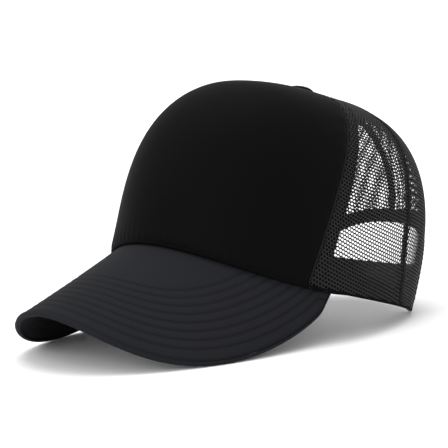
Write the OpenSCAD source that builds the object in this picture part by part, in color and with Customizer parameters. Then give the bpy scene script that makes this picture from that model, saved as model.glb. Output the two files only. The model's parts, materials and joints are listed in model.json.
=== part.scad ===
// Trucker cap: foam-backed front panel, four mesh panels, stitched visor, snap closure.
// Millimetres. The cap rests on a table on its visor corners and on the two back corners
// of its rim, so the whole crown leans back by rest_tilt. The visor points along -Y.
// Inside, each shape is made in the rim frame: the rim's side lies in z = 0, and
// turn is measured from the front (0) round the wearer's left (+90) to the back (180).

/* [Rim] */
// Half width of the rim from ear to ear
rim_half_w = 80.5; // [77:0.5:84]
// Rim length in front of the crown's middle
rim_front = 97; // [94:0.5:100]
// Rim length behind the crown's middle
rim_back = 106; // [102:0.5:109]
// How far the front of the rim is arched up by the bent visor
rim_arch = 11.7; // [9:0.1:14]
// Turn at which the visor's ends meet the rim
visor_turn = 77; // [72:1:80]

/* [Crown] */
// Height of the crown above the rim
crown_h = 119; // [112:1:124]
// Squareness of the front profile, where 2 is an ellipse
front_square = 3.7; // [3:0.1:4]
// Squareness of the side profile
side_square = 2.5; // [2.2:0.1:3]
// Squareness of the back profile
back_square = 3.3; // [2.6:0.1:3.6]
// How far back the button sits from the rim's middle
apex_back = 10.5; // [4:0.5:12]
// Bulge of the front, as a share of its radius
front_bulge = 0.05; // [0:0.01:0.07]
// Bulge of the sides: below zero they lean in
side_bulge = -0.065; // [-0.1:0.005:0.03]
// Bulge of the back
back_bulge = 0.055; // [0:0.005:0.07]

/* [Panels] */
// Turn of the front-to-side seam at the rim
front_seam_low = 66.5; // [62:0.5:70]
// Turn of the front-to-side seam at the button
front_seam_high = 87; // [80:1:92]
// Turn of the side-to-back seam at the rim
side_seam_low = 114; // [112:1:122]
// Turn of the side-to-back seam at the button
side_seam_high = 128; // [125:1:132]
// Thickness of the front panel's face cloth
face_t = 0.6; // [0.5:0.1:0.8]
// Thickness of the front panel's foam
foam_t = 2.6; // [2:0.1:2.8]
// Thickness of the mesh
mesh_t = 0.8; // [0.6:0.1:0.8]
// Width of the knitted tape behind the front seams
tape_w = 10; // [7:0.5:12]
// Width of the folded tape over a net-to-net seam
narrow_tape_w = 4.5; // [4:0.5:6]
// Thickness of the seam tape
tape_t = 0.7; // [0.5:0.1:0.8]

/* [Back arch] */
// Half of the arch's width, as a turn
arch_half_turn = 34; // [30:1:36]
// Height of the arch above the rim
arch_h = 56; // [48:1:60]
// Squareness of the arch, where 2 is half an ellipse
arch_square = 2.6; // [2:0.1:3]
// Width of the binding round the arch
binding_w = 8; // [6:0.5:9]
// How far the binding stands proud of the mesh on each side
binding_lip = 0.6; // [0.4:0.1:0.7]

/* [Sweatband] */
// Height of the sweatband at the forehead
band_front_h = 28; // [24:1:32]
// Height of the sweatband at the visor's ends
band_side_h = 15; // [12:1:20]
// Height of the sweatband at the arch
band_back_h = 6.5; // [5:0.5:7]
// Thickness of the sweatband, and of the strip behind it
band_t = 0.9; // [0.7:0.1:1]

/* [Visor] */
// Length of the visor in front of the rim, seen from above
visor_len = 67; // [60:1:72]
// Half width of the bent visor
visor_half_w = 71; // [68:1:76]
// Drop of the visor's middle from the arched rim to its front edge
visor_drop = 46.5; // [40:0.5:50]
// Extra drop of the visor's corners, from its bend
visor_sag = 48; // [40:1:52]
// Roundness of the front edge, where a smaller value is squarer
visor_round = 0.72; // [0.6:0.02:0.8]
// Thickness of the visor's board
board_t = 2.0; // [1.6:0.1:2.4]
// Thickness of the cloth over the board
visor_cloth_t = 0.6; // [0.4:0.1:0.8]
// Thickness of the cloth under the board
under_cloth_t = 0.5; // [0.4:0.1:0.6]

/* [Snap closure] */
// Height of each strap
strap_h = 19; // [16:1:21]
// Height of the straps' lower edge above the rim
strap_low = 10; // [7:0.5:11]
// Thickness of each strap
strap_t = 1.2; // [1:0.1:1.4]
// Pegs on the peg strap, and holes in the hole strap
peg_count = 7; // [5:1:7]
// Pegs that are snapped in
peg_snapped = 5; // [3:1:5]
// Distance between pegs along the strap
peg_pitch = 9.5; // [9:0.1:10]
// Radius of a peg
peg_r = 1.75; // [1.6:0.05:1.8]
// Height of a peg
peg_h = 2.6; // [2.4:0.1:2.8]
// Radius of a hole
hole_r = 2.7; // [2.65:0.05:2.9]
// Length of each strap's sewn end inside the crown
tab_len = 13; // [11:0.5:14]

/* [Button] */
// Radius of the covered button
button_r = 8; // [7:0.5:9]
// Height of the covered button
button_h = 3.6; // [3:0.1:4.5]

/* [Hidden] */

LEFT = 1;
RIGHT = -1;

// Colours
FACE_BLACK = [0.03, 0.03, 0.032];
FOAM_BLACK = [0.07, 0.07, 0.07];
MESH_BLACK = [0.16, 0.16, 0.16];
TAPE_BLACK = [0.05, 0.05, 0.055];
VISOR_CHARCOAL = [0.09, 0.09, 0.11];
BOARD_BLACK = [0.12, 0.12, 0.12];
STRAP_BLACK = [0.04, 0.04, 0.04];
STEEL = [0.6, 0.6, 0.62];

// Clearances
skin_gap = 0.2;       // between layers that are cut from different curves
tape_gap = 0.4;       // between the mesh or the foam and a tape
roll_gap = 0.15;      // between the visor's layers and the roll on their edge
visor_gap = 0.15;     // between the rim and the visor below it
mesh_inset = 0.2;     // the mesh lies this far under the front panel's face
strap_gap = 0.3;      // between the two straps
hinge_gap = 0.7;      // between a strap's hinged end and its sewn end

// Depths below the crown's face
front_depth = face_t + foam_t;
mesh_depth = mesh_inset + mesh_t;
tape_depth = mesh_depth + tape_gap;
band_depth_front = front_depth + band_t + 2 * skin_gap;
band_depth_side = tape_depth + tape_t + skin_gap;

// Sampling of the soft shells
front_cols = 30;
panel_rows = 18;
side_cols = 12;
back_cols = 6;
arch_cols = 9;
tape_cols = 2;
band_cols = 64;
band_rows = 3;
visor_cols = 40;
visor_rows = 6;
roll_sides = 8;
round_fn = 48;
peg_fn = 24;

// The hole at the top that the button's shaft goes through, as a share of the radius
apex_rho = 0.036;
// Evens out the rows from rim to button
row_ease = 1.8;
// The visor's arch is lowest where its blunt ends stop
visor_u_end = 0.993;
// How quickly the visor's side edges turn in to the rim
visor_end_power = 8;

// ---- Crown surface ----

function square_at(turn) =
    let (c = cos(turn), s = sin(turn))
    c > 0 ? c * c * front_square + s * s * side_square : c * c * back_square + s * s * side_square;

function bulge_at(turn) =
    let (c = cos(turn), s = sin(turn))
    c > 0 ? c * c * front_bulge + s * s * side_bulge : c * c * back_bulge + s * s * side_bulge;

function rim_z(turn) = rim_arch * pow(cos(90 * min(abs(turn) / visor_turn, 1)), 2);

// A point at a turn and at shares of the radius and height, at a depth below the face
function shell_pt(turn, rho, zeta, depth) =
    let (len_y = (cos(turn) > 0 ? rim_front : rim_back) - depth,
         swell = 1 + bulge_at(turn) * sin(180 * min(zeta / 0.9, 1)))
    [(rim_half_w - depth) * sin(turn) * rho * swell,
     -len_y * cos(turn) * rho * swell + apex_back * zeta,
     rim_z(turn) * (1 - zeta) + (crown_h - depth) * zeta];

// The same, by the profile's own angle, 0 at the rim and 1 at the button
function crown_pt(turn, rise, depth) =
    let (n = square_at(turn))
    shell_pt(turn, pow(max(cos(90 * rise), 0), 2 / n), pow(sin(90 * rise), 2 / n), depth);

// The same, by the share of the height
function wall_pt(turn, zeta, depth) =
    let (n = square_at(turn))
    shell_pt(turn, pow(1 - pow(zeta, n), 1 / n), zeta, depth);

function rise_of_zeta(turn, zeta) = asin(pow(zeta, square_at(turn) / 2)) / 90;
function top_rise(turn) = acos(pow(apex_rho, square_at(turn) / 2)) / 90;
function ease(r) = pow(r, row_ease) / (pow(r, row_ease) + pow(1 - r, row_ease));
function mix(a, b, f) = a + (b - a) * f;
function smooth(f) = let (g = min(max(f, 0), 1)) g * g * (3 - 2 * g);

function front_seam(rise) = mix(front_seam_low, front_seam_high, pow(rise, 0.8));
function side_seam(rise) = mix(side_seam_low, side_seam_high, rise);

// Turn that a width takes up on the wall at a rise
function turn_of_width(w, turn, rise) =
    w / (rim_half_w * max(pow(cos(90 * rise), 2 / square_at(turn)), 0.16)) * 180 / PI;

// ---- Solids from grids ----

// Closed solid between two grids of the same size, seen from outside with rows going up
module shell(outer, inner) {
    rows = len(outer);
    cols = len(outer[0]);
    n = rows * cols;
    points = concat([for (row = outer) each row], [for (row = inner) each row]);
    faces = concat(
        [for (i = [0:rows - 2], j = [0:cols - 2]) let (a = i * cols + j, b = a + cols)
            each [[a, b, b + 1], [a, b + 1, a + 1],
                  [n + a, n + b + 1, n + b], [n + a, n + a + 1, n + b + 1]]],
        [for (j = [0:cols - 2]) let (t = (rows - 1) * cols)
            each [[j, j + 1, n + j + 1], [j, n + j + 1, n + j],
                  [t + j + 1, t + j, n + t + j], [t + j + 1, n + t + j, n + t + j + 1]]],
        [for (i = [0:rows - 2]) let (a = i * cols, b = a + cols, c = a + cols - 1, d = b + cols - 1)
            each [[b, a, n + a], [b, n + a, n + b],
                  [c, d, n + d], [c, n + d, n + c]]]
    );
    polyhedron(points = points, faces = faces, convexity = 10);
}

// The crown's place on the table
module seated() {
    translate([0, seat_y, seat_z])
        rotate([-rest_tilt, 0, 0])
            children();
}

module sided(side) {
    if (side == LEFT) children();
    else mirror([1, 0, 0]) children();
}

// ---- Front panel ----

function front_grid(depth) =
    [for (i = [0:panel_rows]) [for (j = [0:front_cols])
        let (side = 2 * j / front_cols - 1,
             guess = ease(i / panel_rows),
             turn = front_seam(guess) * side,
             rise = guess * top_rise(turn))
        crown_pt(turn, rise, depth)]];

module front_panel_cloth() {
    color(FACE_BLACK) seated() shell(front_grid(0), front_grid(face_t));
}

module front_panel_foam() {
    color(FOAM_BLACK) seated() shell(front_grid(face_t), front_grid(front_depth));
}

// ---- Mesh panels ----

function side_grid(depth) =
    [for (i = [0:panel_rows]) [for (j = [0:side_cols])
        let (guess = ease(i / panel_rows),
             turn = mix(front_seam(guess), side_seam(guess), j / side_cols))
        crown_pt(turn, guess * top_rise(turn), depth)]];

// Outer edge of the arch's binding, where the back panels are cut
cut_half_turn = arch_half_turn + binding_w / rim_back * 180 / PI * 0.95;
cut_zeta = (arch_h + binding_w) / crown_h;
arch_zeta = arch_h / crown_h;

// Turn and share of the height on the arch, by an angle from its left foot over to its right
function arch_turn(half_turn, psi) =
    180 - half_turn * sign(cos(psi)) * pow(abs(cos(psi)), 2 / arch_square);
function arch_zeta_at(zeta_top, psi) = zeta_top * pow(max(sin(psi), 0), 2 / arch_square);

function arch_pt(half_turn, zeta_top, psi, depth) =
    wall_pt(arch_turn(half_turn, psi), arch_zeta_at(zeta_top, psi), depth);

// Foot of each column of the back panel: its turn and its rise
back_feet = concat(
    [for (j = [0:back_cols - 1])
        [mix(side_seam_low, 180 - cut_half_turn, j / back_cols), 0]],
    [for (j = [0:arch_cols]) let (psi = 90 * j / arch_cols, turn = arch_turn(cut_half_turn, psi))
        [turn, rise_of_zeta(turn, arch_zeta_at(cut_zeta, psi))]]
);

function back_grid(depth) =
    [for (i = [0:panel_rows]) [for (foot = back_feet)
        let (share = (foot[0] - side_seam(foot[1])) / (180 - side_seam(foot[1])),
             guess = mix(foot[1], 1, ease(i / panel_rows)),
             turn = mix(side_seam(guess), 180, share))
        crown_pt(turn, min(guess, guess * mix(1, top_rise(turn), ease(i / panel_rows))), depth)]];

module side_mesh(side) {
    color(MESH_BLACK) seated() sided(side) shell(side_grid(mesh_inset), side_grid(mesh_depth));
}

module back_mesh(side) {
    color(MESH_BLACK) seated() sided(side) shell(back_grid(mesh_inset), back_grid(mesh_depth));
}

// ---- Seam tapes ----

tape_rise_low = 0.004;
tape_rise_high = 0.93;
side_tape_rise_high = 0.87; // it stops short of the front tapes' ends

// kind 0 lies behind the front seam, kind 1 is centred on the side seam
function tape_grid(kind, depth) =
    [for (i = [0:panel_rows]) [for (j = [0:tape_cols])
        let (high = kind == 0 ? tape_rise_high : side_tape_rise_high,
             rise = mix(tape_rise_low, high, ease(i / panel_rows)),
             seam = kind == 0 ? front_seam(rise) : side_seam(rise),
             shift = kind == 0 ? j / tape_cols * tape_w + tape_gap : (j / tape_cols - 0.5) * narrow_tape_w)
        crown_pt(seam + turn_of_width(shift, seam, rise), rise, depth)]];

function center_tape_grid(depth) =
    let (low = rise_of_zeta(180, cut_zeta) + 0.004)
    [for (i = [0:panel_rows]) [for (j = [0:tape_cols])
        let (rise = mix(low, tape_rise_high, ease(i / panel_rows)))
        crown_pt(180 + turn_of_width(narrow_tape_w, 180, rise) * (j / tape_cols - 0.5), rise, depth)]];

module seam_tape(kind, side) {
    color(TAPE_BLACK) seated() sided(side)
        shell(tape_grid(kind, tape_depth), tape_grid(kind, tape_depth + tape_t));
}

module seam_tape_center_back() {
    color(TAPE_BLACK) seated()
        shell(center_tape_grid(tape_depth), center_tape_grid(tape_depth + tape_t));
}

// ---- Binding round the back arch ----

function binding_grid(depth) =
    [for (i = [0:1]) [for (j = [0:2 * arch_cols])
        let (psi = 90 * j / arch_cols)
        i == 0 ? arch_pt(arch_half_turn, arch_zeta, psi, depth)
               : arch_pt(cut_half_turn, cut_zeta, psi, depth)]];

module arch_binding() {
    color(TAPE_BLACK) seated()
        shell(binding_grid(mesh_inset - binding_lip), binding_grid(mesh_depth + binding_lip));
}

// ---- Sweatband ----

band_end_turn = 180 - cut_half_turn - 0.6;

function band_h(turn) =
    let (a = abs(turn))
    a < visor_turn
        ? mix(band_front_h, band_side_h, smooth((a - 25) / (visor_turn - 25)))
        : mix(band_side_h, band_back_h, smooth((a - visor_turn) / (band_end_turn - visor_turn)));

function band_depth(turn) =
    mix(band_depth_front, band_depth_side, smooth((abs(turn) - visor_turn) / 18));

function band_grid(end_turn, cols, low, high, shift) =
    [for (i = [0:band_rows]) [for (j = [0:cols])
        let (turn = mix(-end_turn, end_turn, j / cols),
             lift = low + (band_h(turn) - high - low) * i / band_rows)
        wall_pt(turn, lift / (crown_h - rim_z(turn)), band_depth(turn) + shift)]];

module sweatband() {
    color(FOAM_BLACK) seated()
        shell(band_grid(band_end_turn, band_cols, skin_gap, 0, 0),
              band_grid(band_end_turn, band_cols, skin_gap, 0, band_t));
}

backing_turn = 60;
backing_cols = 30;

module sweatband_backing() {
    color(FOAM_BLACK) seated()
        shell(band_grid(backing_turn, backing_cols, skin_gap, 3, -band_t - skin_gap),
              band_grid(backing_turn, backing_cols, skin_gap, 3, -skin_gap));
}

// ---- Visor ----

visor_root_depth = front_depth - skin_gap;
visor_end_x = (rim_half_w - visor_root_depth) * sin(visor_turn);
visor_end_y = -(rim_front - visor_root_depth) * cos(visor_turn);

function visor_root(u) =
    let (p = wall_pt(visor_turn * u, 0, visor_root_depth))
    [p[0], p[1], p[2] - visor_gap];

function visor_front(u) =
    let (a = 90 * u,
         reach = pow(max(cos(a), 0), visor_round),
         width = abs(sin(a)))
    [sign(u) * (visor_half_w * width + (visor_end_x - visor_half_w) * pow(width, visor_end_power)),
     mix(visor_end_y, -rim_front - visor_len, reach),
     (rim_arch - visor_drop) * reach - visor_sag * width * width * sqrt(reach) - visor_gap];

function visor_pt(u, v) = mix(visor_root(u), visor_front(u), v);

function unit(p) = p / norm(p);

function visor_up(u, v) =
    let (e = 0.004)
    unit(cross(visor_pt(u, v + e) - visor_pt(u, v - e), visor_pt(u + e, v) - visor_pt(u - e, v)));

function visor_u(j) = visor_u_end * sin(90 * (2 * j / visor_cols - 1));

function visor_grid(depth) =
    [for (i = [0:visor_rows]) [for (j = [0:visor_cols])
        let (u = visor_u(j), v = 1 - i / visor_rows)
        visor_pt(u, v) - depth * visor_up(u, v)]];

visor_t = visor_cloth_t + board_t + under_cloth_t;

module visor_layer(top, thick) {
    seated() shell(visor_grid(top), visor_grid(top + thick));
}

module visor_top_cloth() {
    color(VISOR_CHARCOAL) visor_layer(0, visor_cloth_t);
}

module visor_board() {
    color(BOARD_BLACK) visor_layer(visor_cloth_t, board_t);
}

module visor_under_cloth() {
    color(VISOR_CHARCOAL) visor_layer(visor_cloth_t + board_t, under_cloth_t);
}

// Half-round roll round the front edge, a little thicker than the layers inside it
roll_r = visor_t / 2 + 0.35;

function roll_ring(u) =
    let (e = 0.004,
         up = visor_up(u, 1),
         along = unit(visor_front(u + e) - visor_front(u - e)),
         out = unit(cross(along, up)),
         middle = visor_front(u) - up * visor_t / 2 + out * roll_gap)
    [for (k = [0:roll_sides])
        let (a = 90 - 180 * k / roll_sides)
        middle + roll_r * (up * sin(a) + out * cos(a))];

roll_rings = [for (j = [0:visor_cols]) roll_ring(visor_u(j))];

module visor_edge_roll() {
    sides = roll_sides + 1;
    last = visor_cols * sides;
    color(VISOR_CHARCOAL) seated()
        polyhedron(
            points = [for (ring = roll_rings) each ring],
            faces = concat(
                [for (j = [0:visor_cols - 1], k = [0:sides - 1])
                    let (a = j * sides + k, b = j * sides + (k + 1) % sides)
                    each [[a, a + sides, b + sides], [a, b + sides, b]]],
                [[for (k = [0:sides - 1]) k]],
                [[for (k = [sides - 1:-1:0]) last + k]]),
            convexity = 10);
}

// ---- Resting pose ----

// The back corner of the rim that touches the table
back_foot = wall_pt(180 - arch_half_turn, 0, mesh_inset - binding_lip);
rest_tilt = max([for (ring = roll_rings, p = ring)
    p[2] < 0 ? atan2(back_foot[2] - p[2], back_foot[1] - p[1]) : 0]);

function seat_height(p) = p[2] * cos(rest_tilt) - p[1] * sin(rest_tilt);
function seat_depth(p) = p[1] * cos(rest_tilt) + p[2] * sin(rest_tilt);

seat_z = -min([for (ring = roll_rings, p = ring) seat_height(p)]);
seat_front = min([for (ring = roll_rings, p = ring) seat_depth(p)]);
seat_back = max([for (row = binding_grid(mesh_inset - binding_lip), p = row) seat_depth(p)]);
seat_y = -(seat_front + seat_back) / 2;

// ---- Snap closure ----

// Circle through the arch's two corners and the middle of the back rim
arch_corner = wall_pt(180 - arch_half_turn, 0, 0);
arch_rise = rim_back - arch_corner[1];
strap_circle_r = (pow(arch_corner[0], 2) + pow(arch_rise, 2)) / (2 * arch_rise);
strap_circle_y = rim_back - strap_circle_r;
hole_strap_out_r = strap_circle_r - mesh_depth - binding_lip - skin_gap;
peg_strap_out_r = hole_strap_out_r - strap_t - strap_gap;
// Each strap bends just clear of the arch's edge at the strap's own upper edge
strap_top_share = (strap_low + strap_h) / arch_h;
hinge_turn = arch_half_turn * pow(1 - pow(strap_top_share, arch_square), 1 / arch_square);
hinge_inset = 1.5;
hinge_angle = asin(rim_half_w * sin(hinge_turn) / strap_circle_r) - hinge_inset;
peg_step = peg_pitch / hole_strap_out_r * 180 / PI;
first_peg = (peg_snapped - 1) / 2;
// Free end of a strap, just short of the first peg that isn't snapped in
free_angle = (first_peg + 1) * peg_step - (peg_r + 0.9) / peg_strap_out_r * 180 / PI;
strap_end_r = strap_h / 2 + 0.25;
end_angle = strap_end_r / peg_strap_out_r * 180 / PI;
strap_mid_z = strap_low + strap_h / 2;

// Upright arc between two angles, measured from +Y, positive towards the side that it's on
module strap_arc(out_r, from, to) {
    translate([0, 0, strap_low])
        rotate([0, 0, 90 - to])
            rotate_extrude(angle = to - from, $fn = 180)
                translate([out_r - strap_t, 0])
                    square([strap_t, strap_h]);
}

// Places a thing on the strap's circle, with its z pointing outwards
module on_strap(angle, r) {
    rotate([0, 0, -angle])
        translate([0, r, strap_mid_z])
            rotate([-90, 0, 0])
                children();
}

// Block that trims a strap's free end to a round tip
module tip_trim(out_r) {
    difference() {
        translate([0, 0, strap_low - 1])
            rotate([0, 0, 90 + free_angle - end_angle])
                rotate_extrude(angle = end_angle + 2, $fn = 180)
                    translate([out_r - strap_t - 1, 0])
                        square([strap_t + 2, strap_h + 2]);
        on_strap(-free_angle + end_angle, out_r - 6)
            cylinder(h = 12, r = strap_end_r, $fn = round_fn);
    }
}

module strap_blank(out_r) {
    difference() {
        strap_arc(out_r, -free_angle, hinge_angle);
        tip_trim(out_r);
    }
}

module strap_place(side) {
    seated() sided(side) translate([0, strap_circle_y, 0]) children();
}

module snap_strap_holes() {
    color(STRAP_BLACK) strap_place(LEFT) difference() {
        strap_blank(hole_strap_out_r);
        for (i = [0:peg_count - 1])
            on_strap((i - first_peg) * peg_step, hole_strap_out_r - 4) cylinder(h = 8, r = hole_r, $fn = round_fn);
    }
}

peg_shank_h = 1.6;
peg_tip_r = 1.0;
peg_root = 0.4;

// Half section of a peg, with its root inside the strap
peg_outline = [
    [0, -peg_root], [peg_r, -peg_root], [peg_r, peg_shank_h], [peg_tip_r, peg_h], [0, peg_h]
];

module snap_strap_pegs() {
    color(STRAP_BLACK) strap_place(RIGHT) {
        strap_blank(peg_strap_out_r);
        for (i = [0:peg_count - 1])
            on_strap((i - first_peg) * peg_step, peg_strap_out_r)
                rotate_extrude($fn = peg_fn) polygon(peg_outline);
    }
}

// The sewn end of a strap, inside the crown
module strap_tab(out_r, side) {
    gap_angle = hinge_gap / out_r * 180 / PI;
    color(STRAP_BLACK) strap_place(side)
        strap_arc(out_r, hinge_angle + gap_angle, hinge_angle + gap_angle + tab_len / out_r * 180 / PI);
}

// ---- Button ----

button_wall = 0.7;
button_post_r = 1.6;

module on_apex() {
    seated() translate([0, apex_back, crown_h]) children();
}

// Half section of a low dome with an elliptical top
function dome_outline(r, h) =
    concat([[0, 0]], [for (a = [0:10:90]) [r * cos(a), h * sin(a)]]);

module dome(r, h) {
    rotate_extrude($fn = round_fn) polygon(dome_outline(r, h));
}

module button_cover() {
    color(FACE_BLACK) on_apex() difference() {
        dome(button_r, button_h);
        dome(button_r - button_wall, button_h - button_wall);
    }
}

module button_shell() {
    color(STEEL) on_apex() difference() {
        dome(button_r - button_wall, button_h - button_wall);
        dome(button_r - 2 * button_wall, button_h - 2 * button_wall);
    }
}

washer_t = 0.8;
washer_r = 6.5;
washer_z = -(front_depth + 0.6);

module button_rivet() {
    post_top = button_h - 2 * button_wall - skin_gap;
    color(STEEL) on_apex()
        translate([0, 0, washer_z - washer_t - 1])
            cylinder(h = post_top - washer_z + washer_t + 1, r = button_post_r, $fn = round_fn);
}

module button_washer() {
    color(STEEL) on_apex() translate([0, 0, washer_z - washer_t]) difference() {
        cylinder(h = washer_t, r = washer_r, $fn = round_fn);
        translate([0, 0, -1]) cylinder(h = washer_t + 2, r = button_post_r, $fn = round_fn);
    }
}

front_panel_cloth();
front_panel_foam();
side_mesh(LEFT);  // side_mesh_left
side_mesh(RIGHT);  // side_mesh_right
back_mesh(LEFT);  // back_mesh_left
back_mesh(RIGHT);  // back_mesh_right
seam_tape(0, LEFT);  // seam_tape_front_left
seam_tape(0, RIGHT);  // seam_tape_front_right
seam_tape(1, LEFT);  // seam_tape_side_left
seam_tape(1, RIGHT);  // seam_tape_side_right
seam_tape_center_back();
arch_binding();
sweatband();
sweatband_backing();
visor_board();
visor_top_cloth();
visor_under_cloth();
visor_edge_roll();
button_cover();
button_shell();
button_rivet();
button_washer();
strap_tab(hole_strap_out_r, LEFT);  // strap_tab_left
strap_tab(peg_strap_out_r, RIGHT);  // strap_tab_right
snap_strap_holes();
snap_strap_pegs();
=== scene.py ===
"""Trucker cap: cloth, foam, net, thread and moulded straps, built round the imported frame."""
import json
import logging
import math
from dataclasses import dataclass, field
from enum import Enum
from typing import Callable, Sequence

import bmesh
import bpy
import numpy as np
from mathutils import Euler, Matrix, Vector
from mathutils.geometry import delaunay_2d_cdt


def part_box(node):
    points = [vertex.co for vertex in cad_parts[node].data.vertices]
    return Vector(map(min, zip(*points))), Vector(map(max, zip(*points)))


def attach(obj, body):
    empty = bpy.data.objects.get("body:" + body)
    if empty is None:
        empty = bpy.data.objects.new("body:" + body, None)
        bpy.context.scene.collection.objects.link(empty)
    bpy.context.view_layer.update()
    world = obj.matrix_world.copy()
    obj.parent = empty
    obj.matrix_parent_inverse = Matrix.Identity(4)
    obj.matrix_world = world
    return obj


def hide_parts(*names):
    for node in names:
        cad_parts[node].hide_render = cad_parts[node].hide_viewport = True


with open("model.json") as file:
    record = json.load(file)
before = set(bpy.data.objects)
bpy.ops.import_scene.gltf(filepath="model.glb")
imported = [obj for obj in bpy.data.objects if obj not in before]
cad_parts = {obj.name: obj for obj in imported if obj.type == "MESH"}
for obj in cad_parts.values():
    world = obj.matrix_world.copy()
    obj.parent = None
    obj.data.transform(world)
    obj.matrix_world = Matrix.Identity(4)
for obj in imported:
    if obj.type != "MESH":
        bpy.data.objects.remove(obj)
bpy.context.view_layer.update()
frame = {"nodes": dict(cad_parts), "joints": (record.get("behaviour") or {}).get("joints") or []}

logging.basicConfig(level=logging.INFO, format="%(message)s")
LOG = logging.getLogger("cap")

MM = 0.001
END_CROWDING = 1.8
LATTICE_TOP = 0.995
COLOR_A, COLOR_B, COLOR_RESULT = 6, 7, 2  # a color Mix node's sockets
Array = np.ndarray


class Body(str, Enum):
    """The rigid bodies that pieces ride on."""

    CAP = "cap"
    HOLE_STRAP = "hole_strap"
    PEG_STRAP = "peg_strap"


class Side(Enum):
    """A side of the wearer, as the sign of its turn round the crown."""

    LEFT = 1
    RIGHT = -1

    @property
    def word(self) -> str:
        """The side's name as pieces spell it."""
        return self.name.lower()


class NetCut(Enum):
    """Which net panel is meant."""

    SIDE = "side"
    BACK = "back"


def smooth(x: Array) -> Array:
    """Eases 0..1 in and out, clipped at both ends."""
    x = np.clip(x, 0.0, 1.0)
    return x * x * (3 - 2 * x)


def eased(x: Array) -> Array:
    """Moves evenly spaced shares of 0..1 closer together towards both ends."""
    return x**END_CROWDING / (x**END_CROWDING + (1 - x) ** END_CROWDING)


def bell(x: Array, width: float) -> Array:
    """A bump of height 1 at x = 0 that falls away over width."""
    return np.exp(-((x / width) ** 2))


def unit(v: Array) -> Array:
    """Vectors along the last axis, scaled to length 1."""
    return v / np.maximum(np.linalg.norm(v, axis=-1, keepdims=True), 1e-12)


def arc_lengths(points: Array) -> Array:
    """Distance along a polyline to each of its points."""
    steps = np.linalg.norm(np.diff(points, axis=0), axis=1)
    return np.concatenate([[0.0], np.cumsum(steps)])


# ---------------------------------------------------------------- the cap's form


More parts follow.
